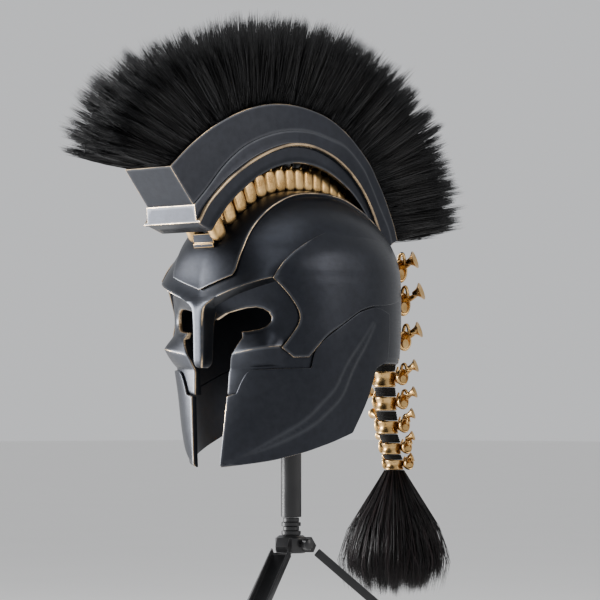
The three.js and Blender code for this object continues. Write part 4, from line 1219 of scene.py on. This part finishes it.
# ---- materials ----
class Nodes:
    """Small helper that adds shader nodes and joins them."""

    def __init__(self, name):
        self.material = bpy.data.materials.new(name)
        self.material.use_nodes = True
        self.tree = self.material.node_tree
        self.shader = self.tree.nodes["Principled BSDF"]
        self.place = self.node("ShaderNodeTexCoord").outputs["Object"]

    def node(self, kind, values=None, **settings):
        made = self.tree.nodes.new(kind)
        for key, value in settings.items():
            setattr(made, key, value)
        for key, value in (values or {}).items():
            self.set(made.inputs[key], value)
        return made

    def set(self, socket, value):
        if isinstance(value, bpy.types.NodeSocket):
            self.tree.links.new(value, socket)
        else:
            socket.default_value = value

    def noise(self, scale, detail=3, roughness=0.55, stretch=None):
        spot = self.place
        if stretch:
            spot = self.node("ShaderNodeMapping", {"Vector": spot, "Scale": stretch}).outputs[0]
        values = {"Vector": spot, "Scale": scale, "Detail": detail, "Roughness": roughness}
        return self.node("ShaderNodeTexNoise", values).outputs["Fac"]

    def math(self, operation, a, b=0.0, clamp=False):
        made = self.node("ShaderNodeMath", operation=operation, use_clamp=clamp)
        self.set(made.inputs[0], a)
        self.set(made.inputs[1], b)
        return made.outputs[0]

    def span(self, value, low, high, to_low=0.0, to_high=1.0):
        values = {"Value": value, "From Min": low, "From Max": high, "To Min": to_low, "To Max": to_high}
        return self.node("ShaderNodeMapRange", values).outputs[0]

    def blend(self, share, a, b):
        made = self.node("ShaderNodeMix", data_type="RGBA")
        self.set(made.inputs["Factor"], share)
        self.set(made.inputs[6], a)
        self.set(made.inputs[7], b)
        return made.outputs[2]

    def bump(self, height, distance, strength=1.0):
        values = {"Height": height, "Distance": distance, "Strength": strength}
        self.set(self.shader.inputs["Normal"], self.node("ShaderNodeBump", values).outputs[0])

    def finish(self, **values):
        for key, value in values.items():
            self.set(self.shader.inputs[key.replace("_", " ")], value)
        return self.material


RUBBED_GOLD = (0.78, 0.57, 0.34, 1)


def gunmetal_material():
    """Satin blue-black metal, gold where its edges are rubbed, with painted highlight as a lighter band
    beside edges and creases.
    """
    n = Nodes("gunmetal")
    cloud = n.noise(9, 4)
    fine = n.noise(140, 3)
    brushed = n.noise(60, 2, stretch=(1, 1, 14))
    cool = n.blend(cloud, (0.017, 0.0195, 0.0265, 1), (0.032, 0.0345, 0.042, 1))
    base = n.blend(n.span(fine, 0.35, 0.75, 0, 0.4), cool, (0.012, 0.013, 0.016, 1))
    edge = n.node("ShaderNodeAttribute", attribute_name="edge_mm").outputs["Fac"]
    # Lighter steel within 3.2 mm of an edge or crease, reaching half at 1.2 mm: painted highlight.
    base = n.blend(n.span(edge, 3.2, 1.2, 0, 0.5), base, (0.100, 0.106, 0.118, 1))
    patchy = n.span(n.noise(26, 4, 0.6), 0.36, 0.62, 0.25, 1.0)
    width = n.math("MULTIPLY", n.noise(60, 5, 0.65), n.span(patchy, 0.25, 1.0, 0.7, 1.5))
    gold = n.math("MULTIPLY", n.span(n.math("SUBTRACT", edge, width), 0.1, -0.2), patchy)
    colour = n.blend(gold, base, RUBBED_GOLD)
    rough = n.span(cloud, 0.3, 0.7, 0.32, 0.41)
    rough = n.math("ADD", rough, n.math("MULTIPLY", n.math("SUBTRACT", brushed, 0.5), 0.10))
    rough = n.math("SUBTRACT", rough, n.math("MULTIPLY", gold, 0.12), clamp=True)
    n.bump(n.math("ADD", n.math("MULTIPLY", fine, 0.6), n.math("MULTIPLY", brushed, 0.4)), 0.00006)
    return n.finish(Base_Color=colour, Metallic=0.86, Roughness=rough)


def gold_material():
    """Antique gold, duller in patches."""
    n = Nodes("antique_gold")
    patch = n.noise(70, 4)
    fine = n.noise(320, 3)
    colour = n.blend(n.span(patch, 0.35, 0.7), (0.42, 0.25, 0.09, 1), (0.72, 0.48, 0.21, 1))
    colour = n.blend(n.span(fine, 0.55, 0.8, 0, 0.4), colour, (0.20, 0.10, 0.035, 1))
    n.bump(fine, 0.00012)
    return n.finish(Base_Color=colour, Metallic=1.0, Roughness=n.span(patch, 0.3, 0.7, 0.24, 0.36))


def hair_material(name, tip):
    """Bristle hair: near black, a little lighter and greyer strand by strand."""
    n = Nodes(name)
    shade = n.node("ShaderNodeAttribute", attribute_name="strand").outputs["Fac"]
    streak = n.noise(260, 2, stretch=(1, 1, 0.25))
    share = n.math("MULTIPLY", shade, n.span(streak, 0.3, 0.7, 0.6, 1.0), clamp=True)
    colour = n.blend(share, (0.004, 0.004, 0.0045, 1), tip)
    n.bump(streak, 0.0002, 0.6)
    rough = n.span(streak, 0.3, 0.7, 0.34, 0.5)
    return n.finish(Base_Color=colour, Roughness=rough, Specular_IOR_Level=0.24)


def packed_hair_material():
    """Hair packed so close that it only shows as dull black."""
    n = Nodes("packed_hair")
    streak = n.noise(200, 3, stretch=(1, 1, 0.2))
    colour = n.blend(streak, (0.002, 0.002, 0.002, 1), (0.008, 0.008, 0.009, 1))
    n.bump(streak, 0.0015)
    rough = n.span(streak, 0.3, 0.7, 0.8, 0.95)
    return n.finish(Base_Color=colour, Roughness=rough, Specular_IOR_Level=0.1)


def cord_material():
    """Black cord wound and woven round the joints of the spine."""
    n = Nodes("woven_cord")
    values = {"Vector": n.place, "Scale": 420.0, "Distortion": 1.5, "Detail": 2.0}
    wave = n.node("ShaderNodeTexWave", values, wave_type="BANDS", bands_direction="Z").outputs["Fac"]
    values = {"Vector": n.place, "Scale": 700.0}
    cell = n.node("ShaderNodeTexVoronoi", values).outputs["Distance"]
    height = n.math("ADD", wave, cell)
    # Darker where the weave's height is low, in its grooves: painted shade.
    colour = n.blend(n.span(height, 0.2, 1.4), (0.002, 0.002, 0.002, 1), (0.030, 0.028, 0.026, 1))
    n.bump(height, 0.0009)
    return n.finish(Base_Color=colour, Roughness=n.span(cell, 0.0, 0.6, 0.7, 0.9), Specular_IOR_Level=0.25)


def black_paint_material():
    """Semi-gloss black of the stand, a little greyer in random patches."""
    n = Nodes("stand_black")
    cloud = n.noise(25, 4)
    grit = n.noise(600, 2)
    colour = n.blend(cloud, (0.012, 0.012, 0.013, 1), (0.030, 0.030, 0.032, 1))
    n.bump(grit, 0.00008)
    return n.finish(Base_Color=colour, Metallic=0.25, Roughness=n.span(cloud, 0.3, 0.7, 0.28, 0.42))


def rubber_material():
    n = Nodes("foot_rubber")
    grain = n.noise(350, 4)
    colour = n.blend(grain, (0.010, 0.010, 0.010, 1), (0.035, 0.034, 0.033, 1))
    n.bump(grain, 0.0003)
    return n.finish(Base_Color=colour, Roughness=n.span(grain, 0.3, 0.7, 0.65, 0.85))


def floor_material():
    n = Nodes("pale_floor")
    cloud = n.noise(3, 4)
    colour = n.blend(cloud, (0.83, 0.825, 0.815, 1), (0.87, 0.865, 0.855, 1))
    return n.finish(Base_Color=colour, Roughness=0.6)


# ---- camera, light and floor ----
CAMERA_TURN, CAMERA_TILT = 45.0, -2.1
CAMERA_AWAY = 3400.0
CAMERA_AIM = (9.5, 181.0)          # millimetres to the right of the post, and above the cheek tips
CAMERA_LENS, CAMERA_SENSOR = 190, 36
# soft lights: heading and height in degrees, metres away, width and height, watts, share of blue
LIGHTS = {
    "key_left": (-56, 3, 1.9, (0.85, 0.6), 88, 1.0),
    "top": (60, 76, 1.9, (1.2, 1.2), 10, 1.0),
    "side_right": (118, 22, 2.2, (0.6, 1.4), 16, 0.9),
}
LIGHTS_AIM = (0, 0, 180)
FLOOR_REACH = 30.0
SKY, SKY_STRENGTH = (0.80, 0.81, 0.83, 1), 0.85


def heading(turn, tilt):
    """The direction from the helmet towards a camera or light, from angles in degrees."""
    turn, tilt = math.radians(turn), math.radians(tilt)
    return np.array([math.sin(turn) * math.cos(tilt), -math.cos(turn) * math.cos(tilt), math.sin(tilt)])


def add_facing(name, data, at, back):
    """A camera or light at a place, looking against the direction back."""
    made = add_object(name, data)
    made.location = at
    made.rotation_mode = "QUATERNION"
    made.rotation_quaternion = Vector(-back).to_track_quat("-Z", "Y")
    return made


def add_camera():
    turn = math.radians(CAMERA_TURN)
    right = np.array([math.cos(turn), math.sin(turn), 0])
    back = heading(CAMERA_TURN, CAMERA_TILT)
    aim = right * CAMERA_AIM[0] + [0, 0, CAMERA_AIM[1]]
    data = bpy.data.cameras.new("camera")
    data.lens = CAMERA_LENS
    data.sensor_width = CAMERA_SENSOR
    data.clip_end = 60
    camera = add_facing("camera", data, place(aim + back * CAMERA_AWAY), back)
    bpy.context.scene.camera = camera


def add_softbox(name, turn, tilt, away, size, power, blue):
    data = bpy.data.lights.new(name, "AREA")
    data.shape = "RECTANGLE"
    data.size, data.size_y = size
    data.energy = power
    data.color = (1.0, 0.5 + 0.5 * blue, blue)
    back = Vector(heading(turn, tilt))
    add_facing(name, data, Vector(place(LIGHTS_AIM)) + back * away, back)


def add_floor():
    mesh = bpy.data.meshes.new("floor")
    corners = [(x * FLOOR_REACH, y * FLOOR_REACH, 0) for x, y in ((-1, -1), (1, -1), (1, 1), (-1, 1))]
    mesh.from_pydata(corners, [], [(0, 1, 2, 3)])
    mesh.materials.append(floor_material())
    floor = add_object("floor", mesh)


def add_stage():
    add_floor()
    world = bpy.data.worlds.new("studio")
    bpy.context.scene.world = world
    world.use_nodes = True
    background = world.node_tree.nodes["Background"].inputs
    background["Color"].default_value = SKY
    background["Strength"].default_value = SKY_STRENGTH
    for name, light in LIGHTS.items():
        add_softbox(name, *light)


# ---- the whole thing ----
def main():
    add_camera()
    gunmetal = gunmetal_material()
    gold = gold_material()
    black = black_paint_material()
    build_skull(gunmetal)
    build_temple_plates(gunmetal)
    build_cheek_guards(gunmetal)
    build_crown_band(gunmetal)
    build_crest_box(gunmetal)
    refined("spine_bracket", "bracket_visual", [gunmetal, gold], 0.45)
    build_arch(gold)
    build_tail(gold, cord_material())
    packed = packed_hair_material()
    build_plume(hair_material("plume_hair", (0.07, 0.071, 0.075, 1)), packed)
    build_tassel(hair_material("tassel_hair", (0.050, 0.034, 0.036, 1)), packed)
    build_stand(black, rubber_material())
    add_stage()


main()
